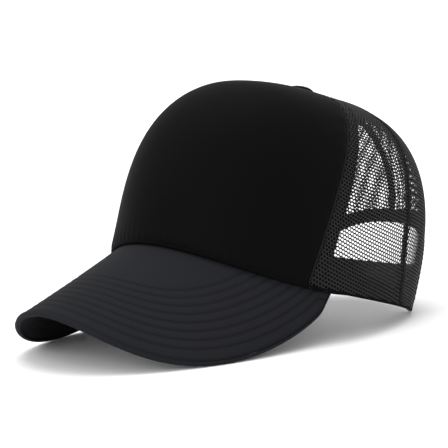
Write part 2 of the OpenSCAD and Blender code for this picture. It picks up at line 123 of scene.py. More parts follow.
@dataclass(frozen=True)
class CrownForm:
    """The crown's surface in metres, in the rim's own frame, and its seat on the table.

    turn is in degrees from the front round the wearer's left, rise is 0 at the rim and 1 at
    the button, and depth is measured inwards from the crown's face.
    """

    rim_half: float = 80.5 * MM
    rim_front: float = 97 * MM
    rim_back: float = 106 * MM
    rim_arch: float = 11.7 * MM
    visor_turn: float = 77.0
    height: float = 119 * MM
    front_square: float = 3.7
    side_square: float = 2.5
    back_square: float = 3.3
    apex_back: float = 10.5 * MM
    front_bulge: float = 0.05
    side_bulge: float = -0.065
    back_bulge: float = 0.055
    front_seam_turns: tuple[float, float] = (66.5, 87.0)
    side_seam_turns: tuple[float, float] = (114.0, 128.0)
    face_t: float = 0.6 * MM
    front_depth: float = 3.2 * MM
    mesh_inset: float = 0.2 * MM
    mesh_t: float = 0.8 * MM
    tape_w: float = 10 * MM
    tape_t: float = 0.7 * MM
    tape_gap: float = 0.4 * MM
    arch_half_turn: float = 34.0
    arch_h: float = 56 * MM
    arch_square: float = 2.6
    binding_w: float = 8 * MM
    binding_lip: float = 0.6 * MM
    apex_rho: float = 0.036
    washer_drop: float = 4.2 * MM

    @property
    def tilt(self) -> float:
        """How far the crown leans back on the table, in radians, from the hinges' axis."""
        axis = next(j["axis"] for j in frame["joints"])
        return math.asin(abs(axis[1]))

    @property
    def seat_offset(self) -> tuple[float, float]:
        """Where the rim frame's origin lies in y and z, from the washer under the button."""
        low, high = (np.array(c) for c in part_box("button_washer"))
        c, s = math.cos(self.tilt), math.sin(self.tilt)
        y, z = self.apex_back, self.height - self.washer_drop
        middle = (low + high) / 2
        return float(middle[1] - y * c - z * s), float(middle[2] - z * c + y * s)

    def seated(self, p: Array) -> Array:
        """Points of the rim's frame, put in the row frame."""
        c, s = math.cos(self.tilt), math.sin(self.tilt)
        oy, oz = self.seat_offset
        x, y, z = p[..., 0], p[..., 1], p[..., 2]
        return np.stack([x, y * c + z * s + oy, z * c - y * s + oz], -1)

    def _blend(self, turn: Array, front: float, side: float, back: float) -> Array:
        """Mixes a value of the front, the sides and the back by the turn."""
        c, s = np.cos(np.radians(turn)), np.sin(np.radians(turn))
        return c * c * np.where(c > 0, front, back) + s * s * side

    def square(self, turn: Array) -> Array:
        """Squareness of the profile at a turn."""
        return self._blend(turn, self.front_square, self.side_square, self.back_square)

    def rim_z(self, turn: Array) -> Array:
        """Height of the rim, which the bent visor arches up in front."""
        share = np.minimum(np.abs(turn) / self.visor_turn, 1)
        return self.rim_arch * np.cos(np.radians(90 * share)) ** 2

    def shell(self, turn: Array, rho: Array, zeta: Array, depth: Array = 0.0) -> Array:
        """Points at shares of the radius and of the height, in the rim's frame."""
        t = np.radians(turn)
        length = np.where(np.cos(t) > 0, self.rim_front, self.rim_back) - depth
        bulge = self._blend(turn, self.front_bulge, self.side_bulge, self.back_bulge)
        swell = 1 + bulge * np.sin(np.pi * np.minimum(zeta / 0.9, 1))
        x = (self.rim_half - depth) * np.sin(t) * rho * swell
        y = -length * np.cos(t) * rho * swell + self.apex_back * zeta
        z = self.rim_z(turn) * (1 - zeta) + (self.height - depth) * zeta
        return np.stack(np.broadcast_arrays(x, y, z), -1)

    def local(self, turn: Array, rise: Array, depth: Array = 0.0) -> Array:
        """Points on the crown, in the rim's frame."""
        turn, rise = np.asarray(turn, float), np.clip(np.asarray(rise, float), 0, 1)
        power = 2 / self.square(turn)
        angle = np.radians(90 * rise)
        rho = np.maximum(np.cos(angle), 0) ** power
        return self.shell(turn, rho, np.sin(angle) ** power, depth)

    def at(self, turn: Array, rise: Array, depth: Array = 0.0) -> Array:
        """Points on the crown, in the row frame."""
        return self.seated(self.local(turn, rise, depth))

    def wall(self, turn: Array, zeta: Array, depth: Array = 0.0) -> Array:
        """Points low on the wall by their share of the height, in the row frame."""
        turn, zeta = np.broadcast_arrays(np.asarray(turn, float), np.asarray(zeta, float))
        n = self.square(turn)
        return self.seated(self.shell(turn, (1 - np.clip(zeta, 0, 1) ** n) ** (1 / n), zeta, depth))

    def normal(self, turn: Array, rise: Array) -> Array:
        """Outward normals of the crown, in the row frame."""
        turn, rise = np.broadcast_arrays(np.asarray(turn, float), np.asarray(rise, float))
        e = 1e-3
        r = np.clip(rise, 2 * e, 1 - 2 * e)
        along = self.at(turn + 0.2, r) - self.at(turn - 0.2, r)
        return unit(np.cross(along, self.at(turn, r + e) - self.at(turn, r - e)))

    def rise_of(self, turn: Array, zeta: Array) -> Array:
        """Rise of a point from its share of the height."""
        return np.degrees(np.arcsin(np.clip(zeta, 0, 1) ** (self.square(turn) / 2))) / 90

    def zeta_of(self, turn: Array, rise: Array) -> Array:
        """Share of the height from the rise."""
        return np.sin(np.radians(90 * np.clip(rise, 0, 1))) ** (2 / self.square(turn))

    def top_rise(self, turn: Array) -> Array:
        """Rise at which the panels stop round the button's shaft."""
        return np.degrees(np.arccos(self.apex_rho ** (self.square(turn) / 2))) / 90

    def front_seam(self, rise: Array) -> Array:
        """Turn of the front-to-side seam."""
        low, high = self.front_seam_turns
        return low + (high - low) * np.asarray(rise, float) ** 0.8

    def side_seam(self, rise: Array) -> Array:
        """Turn of the side-to-back seam."""
        low, high = self.side_seam_turns
        return low + (high - low) * np.asarray(rise, float)

    def per_degree(self, turn: Array, rise: Array) -> Array:
        """Metres along the ring for one degree of turn."""
        return np.linalg.norm(self.local(turn + 0.5, rise) - self.local(turn - 0.5, rise), axis=-1)

    def shifted(self, seam: Array, rise: Array, way: Array) -> Array:
        """Turn of a point a distance round from a seam, in metres, towards the back."""
        turn = seam
        for _ in range(3):
            turn = seam + way / np.maximum(self.per_degree((seam + turn) / 2, rise), 0.2 * MM)
        return turn

    @property
    def tape_depth(self) -> float:
        """Depth of the tapes' outer side."""
        return self.mesh_inset + self.mesh_t + self.tape_gap

    @property
    def cut_half_turn(self) -> float:
        """Half of the arch where the back panels are cut, outside the binding."""
        return self.arch_half_turn + math.degrees(self.binding_w / self.rim_back) * 0.95

    def arch(self, psi: Array, out: Array) -> tuple[Array, Array]:
        """The arch's curve by an angle over it, from its inner edge (0) to the cut (1).

        Args:
            psi: angle in degrees from the left foot (0) over to the right foot (180).
            out: share of the way across the binding.

        Returns:
            The turn and the share of the crown's height.
        """
        half = self.arch_half_turn + (self.cut_half_turn - self.arch_half_turn) * out
        top = (self.arch_h + self.binding_w * out) / self.height
        c, s = np.cos(np.radians(psi)), np.sin(np.radians(psi))
        power = 2 / self.arch_square
        return 180 - half * np.sign(c) * np.abs(c) ** power, top * np.maximum(s, 0) ** power


@dataclass(frozen=True)
class VisorForm:
    """The bent visor's surface, from the rim (v = 0) to its front edge (v = 1)."""

    crown: CrownForm
    length: float = 67 * MM
    half_w: float = 71 * MM
    drop: float = 46.5 * MM
    sag: float = 48 * MM
    roundness: float = 0.72
    end_power: float = 8.0
    u_end: float = 0.993
    cloth_t: float = 0.6 * MM
    board_t: float = 2.0 * MM
    under_t: float = 0.5 * MM
    gap: float = 0.15 * MM
    root_depth: float = 3.0 * MM

    @property
    def thick(self) -> float:
        """Thickness of the board with its cloths."""
        return self.cloth_t + self.board_t + self.under_t

    def root(self, u: Array) -> Array:
        """Points along the rim, in the rim's frame."""
        p = self.crown.shell(self.crown.visor_turn * u, 1.0, np.zeros_like(u), self.root_depth)
        return p - np.array([0, 0, self.gap])

    def front(self, u: Array) -> Array:
        """Points along the front edge, in the rim's frame."""
        c = self.crown
        a = np.radians(90 * u)
        reach = np.maximum(np.cos(a), 0) ** self.roundness
        width = np.abs(np.sin(a))
        end_x = (c.rim_half - self.root_depth) * math.sin(math.radians(c.visor_turn))
        end_y = -(c.rim_front - self.root_depth) * math.cos(math.radians(c.visor_turn))
        x = np.sign(u) * (self.half_w * width + (end_x - self.half_w) * width**self.end_power)
        y = end_y + (-c.rim_front - self.length - end_y) * reach
        z = (c.rim_arch - self.drop) * reach - self.sag * width**2 * np.sqrt(reach) - self.gap
        return np.stack([x, y, z], -1)

    def local(self, u: Array, v: Array) -> Array:
        """Points of the visor's top, in the rim's frame."""
        u, v = np.broadcast_arrays(np.asarray(u, float), np.asarray(v, float))
        return self.root(u) * (1 - v[..., None]) + self.front(u) * v[..., None]

    def up_local(self, u: Array, v: Array) -> Array:
        """Upward normals, in the rim's frame."""
        e = 0.004
        lengthwise = self.local(u, v + e) - self.local(u, v - e)
        return unit(np.cross(lengthwise, self.local(u + e, v) - self.local(u - e, v)))

    def at(self, u: Array, v: Array, depth: Array = 0.0) -> Array:
        """Points at a depth under the visor's top, in the row frame."""
        up = self.up_local(u, v)
        return self.crown.seated(self.local(u, v) - np.asarray(depth)[..., None] * up)

    def up(self, u: Array, v: Array) -> Array:
        """Upward normals, in the row frame."""
        seat = self.crown.seated
        return unit(seat(self.up_local(u, v)) - seat(np.zeros(3)))

    def columns(self, count: int) -> Array:
        """Values of u across the visor, closer together towards its ends."""
        return self.u_end * np.sin(np.radians(np.linspace(-90, 90, count)))


# ---------------------------------------------------------------- meshes


def grid_faces(rows: int, cols: int, start: int = 0, flip: bool = False) -> Array:
    """Quads of a grid whose rows go up and whose columns go right, seen from outside."""
    i, j = np.meshgrid(np.arange(rows - 1), np.arange(cols - 1), indexing="ij")
    a = (start + i * cols + j).ravel()
    quads = np.stack([a, a + 1, a + cols + 1, a + cols], 1)
    return quads[:, ::-1] if flip else quads


def shell_faces(rows: int, cols: int) -> Array:
    """Quads of a closed shell: an outer grid, an inner grid and the four walls between them."""
    n = rows * cols
    ring = np.concatenate([
        np.arange(cols),
        cols - 1 + cols * np.arange(1, rows),
        (rows - 1) * cols + np.arange(cols - 2, -1, -1),
        cols * np.arange(rows - 2, 0, -1),
    ])
    after = np.roll(ring, -1)
    walls = np.stack([ring, ring + n, after + n, after], 1)
    return np.concatenate([grid_faces(rows, cols), grid_faces(rows, cols, n, True), walls])


def make_object(name: str, points: Array, faces: Sequence, material: bpy.types.Material,
                uv: Array | None = None) -> bpy.types.Object:
    """Makes a smoothly shaded mesh object at the origin.

    Args:
        name: the piece's name.
        points: N by 3, in metres in the row frame.
        faces: faces as lists of indices.
        material: the finish of all its faces.
        uv: N by 2, the pattern's place at each point, in metres.

    Returns:
        The new object, linked to the scene.
    """
    mesh = bpy.data.meshes.new(name)
    mesh.from_pydata(np.asarray(points).reshape(-1, 3).tolist(), [], [list(map(int, f)) for f in faces])
    if uv is not None:
        layer = mesh.uv_layers.new(name="cloth")
        loops = np.zeros(len(mesh.loops), np.int32)
        mesh.loops.foreach_get("vertex_index", loops)
        layer.data.foreach_set("uv", np.asarray(uv, float).reshape(-1, 2)[loops].ravel())
    mesh.polygons.foreach_set("use_smooth", [True] * len(mesh.polygons))
    mesh.materials.append(material)
    mesh.update()
    piece = bpy.data.objects.new(name, mesh)
    bpy.context.scene.collection.objects.link(piece)
    return piece


def make_shell(name: str, outer: Array, inner: Array, material: bpy.types.Material,
               crease_shade: Array | None = None) -> bpy.types.Object:
    """Makes a closed sheet from two grids, with its pattern laid out by arc length.

    Args:
        name: the piece's name.
        outer: rows by columns by 3, seen from outside.
        inner: the same for its other side.
        material: its finish.
        crease_shade: rows by columns, how deep each point lies in a fold or a stitch row, 0 to 1; it darkens
            the cloth's colour there as painted shade.

    Returns:
        The new object.
    """
    rows, cols = outer.shape[:2]
    across = arc_lengths(outer[rows // 2])
    uprights = np.concatenate(
        [np.zeros((1, cols)), np.cumsum(np.linalg.norm(np.diff(outer, axis=0), axis=2), axis=0)])
    uv = np.stack([np.broadcast_to(across, (rows, cols)), uprights], -1).reshape(-1, 2)
    points = np.concatenate([outer.reshape(-1, 3), inner.reshape(-1, 3)])
    piece = make_object(name, points, shell_faces(rows, cols), material, np.concatenate([uv, uv]))
    # Painted shade: this mask darkens the colour of the cloth in its folds, stitch rows and turned-in edges.
    if crease_shade is not None:
        layer = piece.data.attributes.new("crease_shade", "FLOAT", "POINT")
        both_sides = np.tile(np.broadcast_to(crease_shade, (rows, cols)).ravel(), 2)
        layer.data.foreach_set("value", both_sides.astype(np.float32))
    return piece


def mark_sharp(piece: bpy.types.Object, degrees: float = 40.0) -> None:
    """Keeps edges sharper than an angle crisp in smooth shading."""
    piece.data.set_sharp_from_angle(angle=math.radians(degrees))


def make_roll(name: str, rings: Array, material: bpy.types.Material) -> bpy.types.Object:
    """Makes a closed roll from rings along a path, with its pattern laid along it."""
    rows, cols = rings.shape[:2]
    i, j = np.meshgrid(np.arange(rows - 1), np.arange(cols), indexing="ij")
    a, b = (i * cols + j).ravel(), (i * cols + (j + 1) % cols).ravel()
    quads = np.stack([a, b, b + cols, a + cols], 1).tolist()
    caps = [list(range(cols))[::-1], [(rows - 1) * cols + k for k in range(cols)]]
    run = np.broadcast_to(arc_lengths(rings[:, 0])[:, None], (rows, cols))
    uv = np.stack([run, np.broadcast_to(np.arange(cols) * 0.5 * MM, (rows, cols))], -1)
    roll = make_object(name, rings, quads + caps, material, uv)
    face_outwards(roll)
    return roll


def face_outwards(piece: bpy.types.Object) -> None:
    """Turns a closed mesh's faces outwards."""
    mesh = bmesh.new()
    mesh.from_mesh(piece.data)
    bmesh.ops.recalc_face_normals(mesh, faces=mesh.faces)
    mesh.to_mesh(piece.data)
    mesh.free()


def grid_area(grid: Array) -> float:
    """Area of a grid of points."""
    a = np.linalg.norm(np.cross(grid[1:, :-1] - grid[:-1, :-1], grid[:-1, 1:] - grid[:-1, :-1]), axis=2)
    b = np.linalg.norm(np.cross(grid[1:, :-1] - grid[1:, 1:], grid[:-1, 1:] - grid[1:, 1:]), axis=2)
    return float((a + b).sum() / 2)


def settle(piece: bpy.types.Object, body: Body, nodes: Sequence[str] = ()) -> None:
    """Rides a piece on its body and hides the plain nodes that it stands for."""
    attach(piece, body.value)
    if nodes:
        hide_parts(*nodes)
    LOG.info("%s: %d faces on %s", piece.name, len(piece.data.polygons), body.value)


# ---------------------------------------------------------------- geometry node trees


class TreeMaker:
    """Adds and links the nodes of one node tree."""

    def __init__(self, tree: bpy.types.NodeTree) -> None:
        """Keeps the tree that nodes are added to."""
        self.tree = tree

    def add(self, kind: str, **settings: object) -> bpy.types.Node:
        """Adds a node and sets its own settings."""
        node = self.tree.nodes.new(kind)
        for key, value in settings.items():
            setattr(node, key, value)
        return node

    def put(self, socket: bpy.types.NodeSocket, value: object) -> None:
        """Links a socket to another, or sets its value."""
        if isinstance(value, bpy.types.NodeSocket):
            self.tree.links.new(value, socket)
        else:
            socket.default_value = value

    def math(self, operation: str, *values: object) -> bpy.types.NodeSocket:
        """A Math node on sockets or numbers."""
        node = self.add("ShaderNodeMath", operation=operation)
        for socket, value in zip(node.inputs, values):
            self.put(socket, value)
        return node.outputs[0]

    def vector(self, operation: str, *values: object) -> bpy.types.NodeSocket:
        """A Vector Math node; a scale operation takes its factor last."""
        node = self.add("ShaderNodeVectorMath", operation=operation)
        slots = [node.inputs[0], node.inputs["Scale"]] if operation == "SCALE" else node.inputs
        for socket, value in zip(slots, values):
            self.put(socket, value)
        return node.outputs[0]

    def run(self, kind: str, inputs: dict, output: object = 0, **settings: object) -> bpy.types.NodeSocket:
        """Adds a node, fills its inputs and gives back one output."""
        node = self.add(kind, **settings)
        for key, value in inputs.items():
            self.put(node.inputs[key], value)
        return node.outputs[output]


def new_geometry_tree(name: str, inputs: Sequence[tuple[str, str]]) -> tuple[TreeMaker, bpy.types.Node]:
    """Starts a geometry tree with named inputs, and gives its maker and its input node."""
    tree = bpy.data.node_groups.new(name, "GeometryNodeTree")
    tree.interface.new_socket("Geometry", in_out="OUTPUT", socket_type="NodeSocketGeometry")
    tree.interface.new_socket("Geometry", in_out="INPUT", socket_type="NodeSocketGeometry")
    for label, kind in inputs:
        tree.interface.new_socket(label, in_out="INPUT", socket_type=kind)
    maker = TreeMaker(tree)
    return maker, maker.add("NodeGroupInput")


def end_geometry_tree(maker: TreeMaker, geometry: bpy.types.NodeSocket,
                      material: bpy.types.NodeSocket) -> bpy.types.NodeTree:
    """Ends a tree in real geometry with its finish set."""
    real = maker.run("GeometryNodeRealizeInstances", {"Geometry": geometry})
    shaded = maker.run("GeometryNodeSetShadeSmooth", {0: real})
    done = maker.run("GeometryNodeSetMaterial", {"Geometry": shaded, "Material": material})
    maker.tree.links.new(done, maker.add("NodeGroupOutput").inputs[0])
    return maker.tree


def net_tree() -> bpy.types.NodeTree:
    """Turns a triangle lattice into a knitted net: a hole round each point, threads between."""
    m, given = new_geometry_tree("knitted_net", [
        ("Hole Width", "NodeSocketFloat"), ("Hole Flatness", "NodeSocketFloat"),
        ("Thread Depth", "NodeSocketFloat"),
        ("Material", "NodeSocketMaterial")])
    cells = m.run("GeometryNodeDualMesh", {0: given.outputs["Geometry"]})
    edge_uses = m.run("GeometryNodeInputMeshEdgeNeighbors", {})
    at_border = m.run("FunctionNodeCompare", {2: edge_uses, 3: 1}, data_type="INT", operation="EQUAL")
    normal = m.run("GeometryNodeInputNormal", {})
    kept = m.add("GeometryNodeCaptureAttribute", domain="POINT")
    kept.capture_items.new("FLOAT", "Border")
    kept.capture_items.new("VECTOR", "Outwards")
    m.put(kept.inputs["Geometry"], cells)
    m.put(kept.inputs["Border"], at_border)
    m.put(kept.inputs["Outwards"], normal)
    split = m.add("GeometryNodeExtrudeMesh", mode="FACES")
    m.put(split.inputs["Mesh"], kept.outputs["Geometry"])
    m.put(split.inputs["Offset Scale"], 0.0)
    m.put(split.inputs["Individual"], True)
    ring = m.add("GeometryNodeCaptureAttribute", domain="POINT")
    ring.capture_items.new("FLOAT", "Hole Edge")
    m.put(ring.inputs["Geometry"], split.outputs["Mesh"])
    m.put(ring.inputs["Hole Edge"], split.outputs["Top"])
    sized = m.run("GeometryNodeScaleElements", {
        "Geometry": ring.outputs["Geometry"], "Selection": split.outputs["Top"],
        "Scale": given.outputs["Hole Width"]}, domain="FACE")
    rise = m.run("GeometryNodeInputNamedAttribute", {"Name": "rise"}, data_type="FLOAT_VECTOR")
    flattened = m.run("GeometryNodeScaleElements", {
        "Geometry": sized, "Selection": split.outputs["Top"], "Scale": given.outputs["Hole Flatness"],
        "Axis": rise}, domain="FACE", scale_mode="SINGLE_AXIS")
    opened = m.run("GeometryNodeDeleteGeometry", {"Geometry": flattened, "Selection": split.outputs["Top"]},
                   domain="FACE", mode="ALL")
    inner = m.math("MAXIMUM", ring.outputs["Hole Edge"], kept.outputs["Border"])
    lift = m.math("MULTIPLY", m.math("SUBTRACT", 1.0, inner), given.outputs["Thread Depth"])
    outward = m.vector("SCALE", kept.outputs["Outwards"], lift)
    front = m.run("GeometryNodeSetPosition", {"Geometry": opened, "Offset": outward})
    back = m.run("GeometryNodeSetPosition", {"Geometry": opened, "Offset": m.vector("SCALE", outward, -1.0)})
    turned = m.run("GeometryNodeFlipFaces", {0: back})
    both = m.add("GeometryNodeJoinGeometry")
    m.tree.links.new(front, both.inputs[0])
    m.tree.links.new(turned, both.inputs[0])
    whole = m.run("GeometryNodeMergeByDistance", {"Geometry": both.outputs[0], "Distance": 1e-6})
    return end_geometry_tree(m, whole, given.outputs["Material"])


def stitch_tree() -> bpy.types.NodeTree:
    """Sews a run of stitches along polylines whose points carry the cloth's normal as up."""
    m, given = new_geometry_tree("stitch_run", [
        ("Pitch", "NodeSocketFloat"), ("Length", "NodeSocketFloat"), ("Thickness", "NodeSocketFloat"),
        ("Material", "NodeSocketMaterial")])
    path = m.run("GeometryNodeMeshToCurve", {"Mesh": given.outputs["Geometry"]})
    spaced = m.run("GeometryNodeResampleCurve", {
        "Curve": path, "Length": given.outputs["Pitch"]}, mode="LENGTH")
    up = m.run("GeometryNodeInputNamedAttribute", {"Name": "up"}, data_type="FLOAT_VECTOR")
    lie = m.run("FunctionNodeAxesToRotation", {
        "Primary Axis": m.run("GeometryNodeInputTangent", {}), "Secondary Axis": up},
        primary_axis="X", secondary_axis="Z")
    grain = m.run("GeometryNodeMeshUVSphere", {"Segments": 8, "Rings": 6, "Radius": 0.5}, "Mesh")
    size = m.add("ShaderNodeCombineXYZ")
    m.put(size.inputs["X"], given.outputs["Length"])
    m.put(size.inputs["Y"], given.outputs["Thickness"])
    m.put(size.inputs["Z"], given.outputs["Thickness"])
    sewn = m.run("GeometryNodeInstanceOnPoints", {
        "Points": spaced, "Instance": grain, "Rotation": lie, "Scale": size.outputs[0]})
    return end_geometry_tree(m, sewn, given.outputs["Material"])


def grow(piece: bpy.types.Object, tree: bpy.types.NodeTree, **values: object) -> bpy.types.Object:
    """Runs a geometry tree on a piece and keeps the result as its plain mesh.

    Args:
        piece: the object with the tree's starting geometry.
        tree: the geometry tree.
        values: the tree's inputs, by name with underscores for spaces.

    Returns:
        The same object with its finished mesh and no modifier.
    """
    modifier = piece.modifiers.new(tree.name, "NODES")
    modifier.node_group = tree
    sockets = {s.name.replace(" ", "_"): s.identifier
               for s in tree.interface.items_tree if s.in_out == "INPUT"}
    for key, value in values.items():
        modifier[sockets[key]] = value
    evaluated = piece.evaluated_get(bpy.context.evaluated_depsgraph_get())
    mesh = bpy.data.meshes.new_from_object(evaluated)
    piece.modifiers.remove(modifier)
    piece.data = mesh
    return piece


@dataclass
class Sewing:
    """Runs of stitches: each is a polyline on the cloth with the cloth's normals."""

    name: str
    material: bpy.types.Material
    pitch: float = 3.2 * MM
    length: float = 2.7 * MM
    thickness: float = 0.45 * MM
    points: list[Array] = field(default_factory=list)
    ups: list[Array] = field(default_factory=list)

    def add(self, points: Array, ups: Array) -> None:
        """Adds one run."""
        self.points.append(np.asarray(points))
        self.ups.append(np.asarray(ups))

    def sew(self, tree: bpy.types.NodeTree) -> bpy.types.Object:
        """Makes the stitches as one piece."""
        edges, start = [], 0
        for run in self.points:
            edges += [(start + k, start + k + 1) for k in range(len(run) - 1)]
            start += len(run)
        mesh = bpy.data.meshes.new(self.name)
        mesh.from_pydata(np.concatenate(self.points).tolist(), edges, [])
        up = mesh.attributes.new("up", "FLOAT_VECTOR", "POINT")
        up.data.foreach_set("vector", np.concatenate(self.ups).astype(np.float32).ravel())
        piece = bpy.data.objects.new(self.name, mesh)
        bpy.context.scene.collection.objects.link(piece)
        return grow(piece, tree, Pitch=self.pitch, Length=self.length,
                    Thickness=self.thickness, Material=self.material)


# ---------------------------------------------------------------- finishes


def new_shader_group(name: str, inputs: Sequence[tuple[str, str, object]],
                     outputs: Sequence[str]) -> tuple[TreeMaker, bpy.types.Node, Callable]:
    """Starts a shader group, and gives its maker, its input node and a way to end it."""
    tree = bpy.data.node_groups.new(name, "ShaderNodeTree")
    for label, kind, value in inputs:
        socket = tree.interface.new_socket(label, in_out="INPUT", socket_type=kind)
        if value is not None:
            socket.default_value = value
    for label in outputs:
        tree.interface.new_socket(label, in_out="OUTPUT", socket_type="NodeSocketFloat")
    maker = TreeMaker(tree)
    given = maker.add("NodeGroupInput")

    def end(**results: bpy.types.NodeSocket) -> bpy.types.NodeTree:
        """Links the group's outputs."""
        out = maker.add("NodeGroupOutput")
        for label, socket in results.items():
            tree.links.new(socket, out.inputs[label])
        return tree

    return maker, given, end


class Patterns:
    """The shader groups that several finishes share, each built once."""

    def __init__(self) -> None:
        """Builds every group."""
        self.knit = self._knit()
        self.twill = self._twill()
        self.cells = self._cells()
        self.wear = self._wear()

    @staticmethod
    def _knit() -> bpy.types.NodeTree:
        """Knitted wales: upright ribs of small chevrons."""
        m, g, end = new_shader_group("knit_wales", [
            ("Vector", "NodeSocketVector", None), ("Wales", "NodeSocketFloat", 900.0),
            ("Chevron", "NodeSocketFloat", 0.6)], ["Height"])
        xyz = m.add("ShaderNodeSeparateXYZ")
        m.put(xyz.inputs[0], m.vector("SCALE", g.outputs["Vector"], g.outputs["Wales"]))
        side = m.math("ABSOLUTE", m.math("SUBTRACT", m.math("FRACT", xyz.outputs["X"]), 0.5))
        rib = m.math("SUBTRACT", 1.0, m.math("MULTIPLY", m.math("MULTIPLY", side, side), 4.0))
        along = m.math("ADD", m.math("MULTIPLY", xyz.outputs["Y"], 0.8),
                       m.math("MULTIPLY", side, g.outputs["Chevron"]))
        loop = m.math("MULTIPLY_ADD", m.math("SINE", m.math("MULTIPLY", along, math.tau)), 0.22, 0.78)
        return end(Height=m.math("MULTIPLY", rib, loop))

    @staticmethod
    def _twill() -> bpy.types.NodeTree:
        """Woven twill: slanting ribs crossed by the fine breaks of the weft."""
        m, g, end = new_shader_group("twill_ribs", [
            ("Vector", "NodeSocketVector", None), ("Ribs", "NodeSocketFloat", 1000.0),
            ("Slant", "NodeSocketFloat", 1.0)], ["Height"])
        xyz = m.add("ShaderNodeSeparateXYZ")
        m.put(xyz.inputs[0], m.vector("SCALE", g.outputs["Vector"], g.outputs["Ribs"]))
        lean = m.math("MULTIPLY", xyz.outputs["Y"], g.outputs["Slant"])
        slanted = m.math("MULTIPLY", m.math("ADD", xyz.outputs["X"], lean), math.pi)
        rib = m.math("ABSOLUTE", m.math("SINE", slanted))
        crossed = m.math("SUBTRACT", xyz.outputs["X"], xyz.outputs["Y"])
        weft = m.math("SINE", m.math("MULTIPLY", crossed, math.tau))
        return end(Height=m.math("MULTIPLY", rib, m.math("MULTIPLY_ADD", weft, 0.12, 0.88)))

    @staticmethod
    def _cells() -> bpy.types.NodeTree:
        """Open foam cells: small round pits of mixed size."""
        m, g, end = new_shader_group("foam_cells", [
            ("Vector", "NodeSocketVector", None), ("Cells", "NodeSocketFloat", 900.0)], ["Height"])
        pits = m.run("ShaderNodeTexVoronoi", {"Vector": g.outputs["Vector"], "Scale": g.outputs["Cells"]},
                     "Distance", feature="F1")
        return end(Height=m.math("MINIMUM", m.math("MULTIPLY", pits, 1.6), 1.0))

    @staticmethod
    def _wear() -> bpy.types.NodeTree:
        """Fine lint and slow fading: a broad patchy mask with small specks in it."""
        m, g, end = new_shader_group("lint_and_fade", [
            ("Vector", "NodeSocketVector", None), ("Patches", "NodeSocketFloat", 14.0),
            ("Specks", "NodeSocketFloat", 900.0)], ["Fade", "Lint"])
        broad = m.run("ShaderNodeTexNoise", {
            "Vector": g.outputs["Vector"], "Scale": g.outputs["Patches"], "Detail": 3.0}, "Fac")
        fine = m.run("ShaderNodeTexNoise", {
            "Vector": g.outputs["Vector"], "Scale": g.outputs["Specks"], "Detail": 1.0}, "Fac")
        lint = m.math("MAXIMUM", m.math("MULTIPLY", m.math("SUBTRACT", fine, 0.68), 4.0), 0.0)
        return end(Fade=broad, Lint=m.math("MINIMUM", lint, 1.0))


def patterned(m: TreeMaker, group: bpy.types.NodeTree, place: str, **values: float) -> bpy.types.NodeSocket:
    """Runs a pattern's group over one kind of texture coordinate.

    Args:
        m: the material's maker.
        group: the pattern's shader group.
        place: the texture coordinate's output.
        values: the group's other inputs.

    Returns:
        The pattern's height.
    """
    node = m.add("ShaderNodeGroup", node_tree=group)
    m.put(node.inputs["Vector"], m.run("ShaderNodeTexCoord", {}, place))
    for label, value in values.items():
        m.put(node.inputs[label], value)
    return node.outputs["Height"]


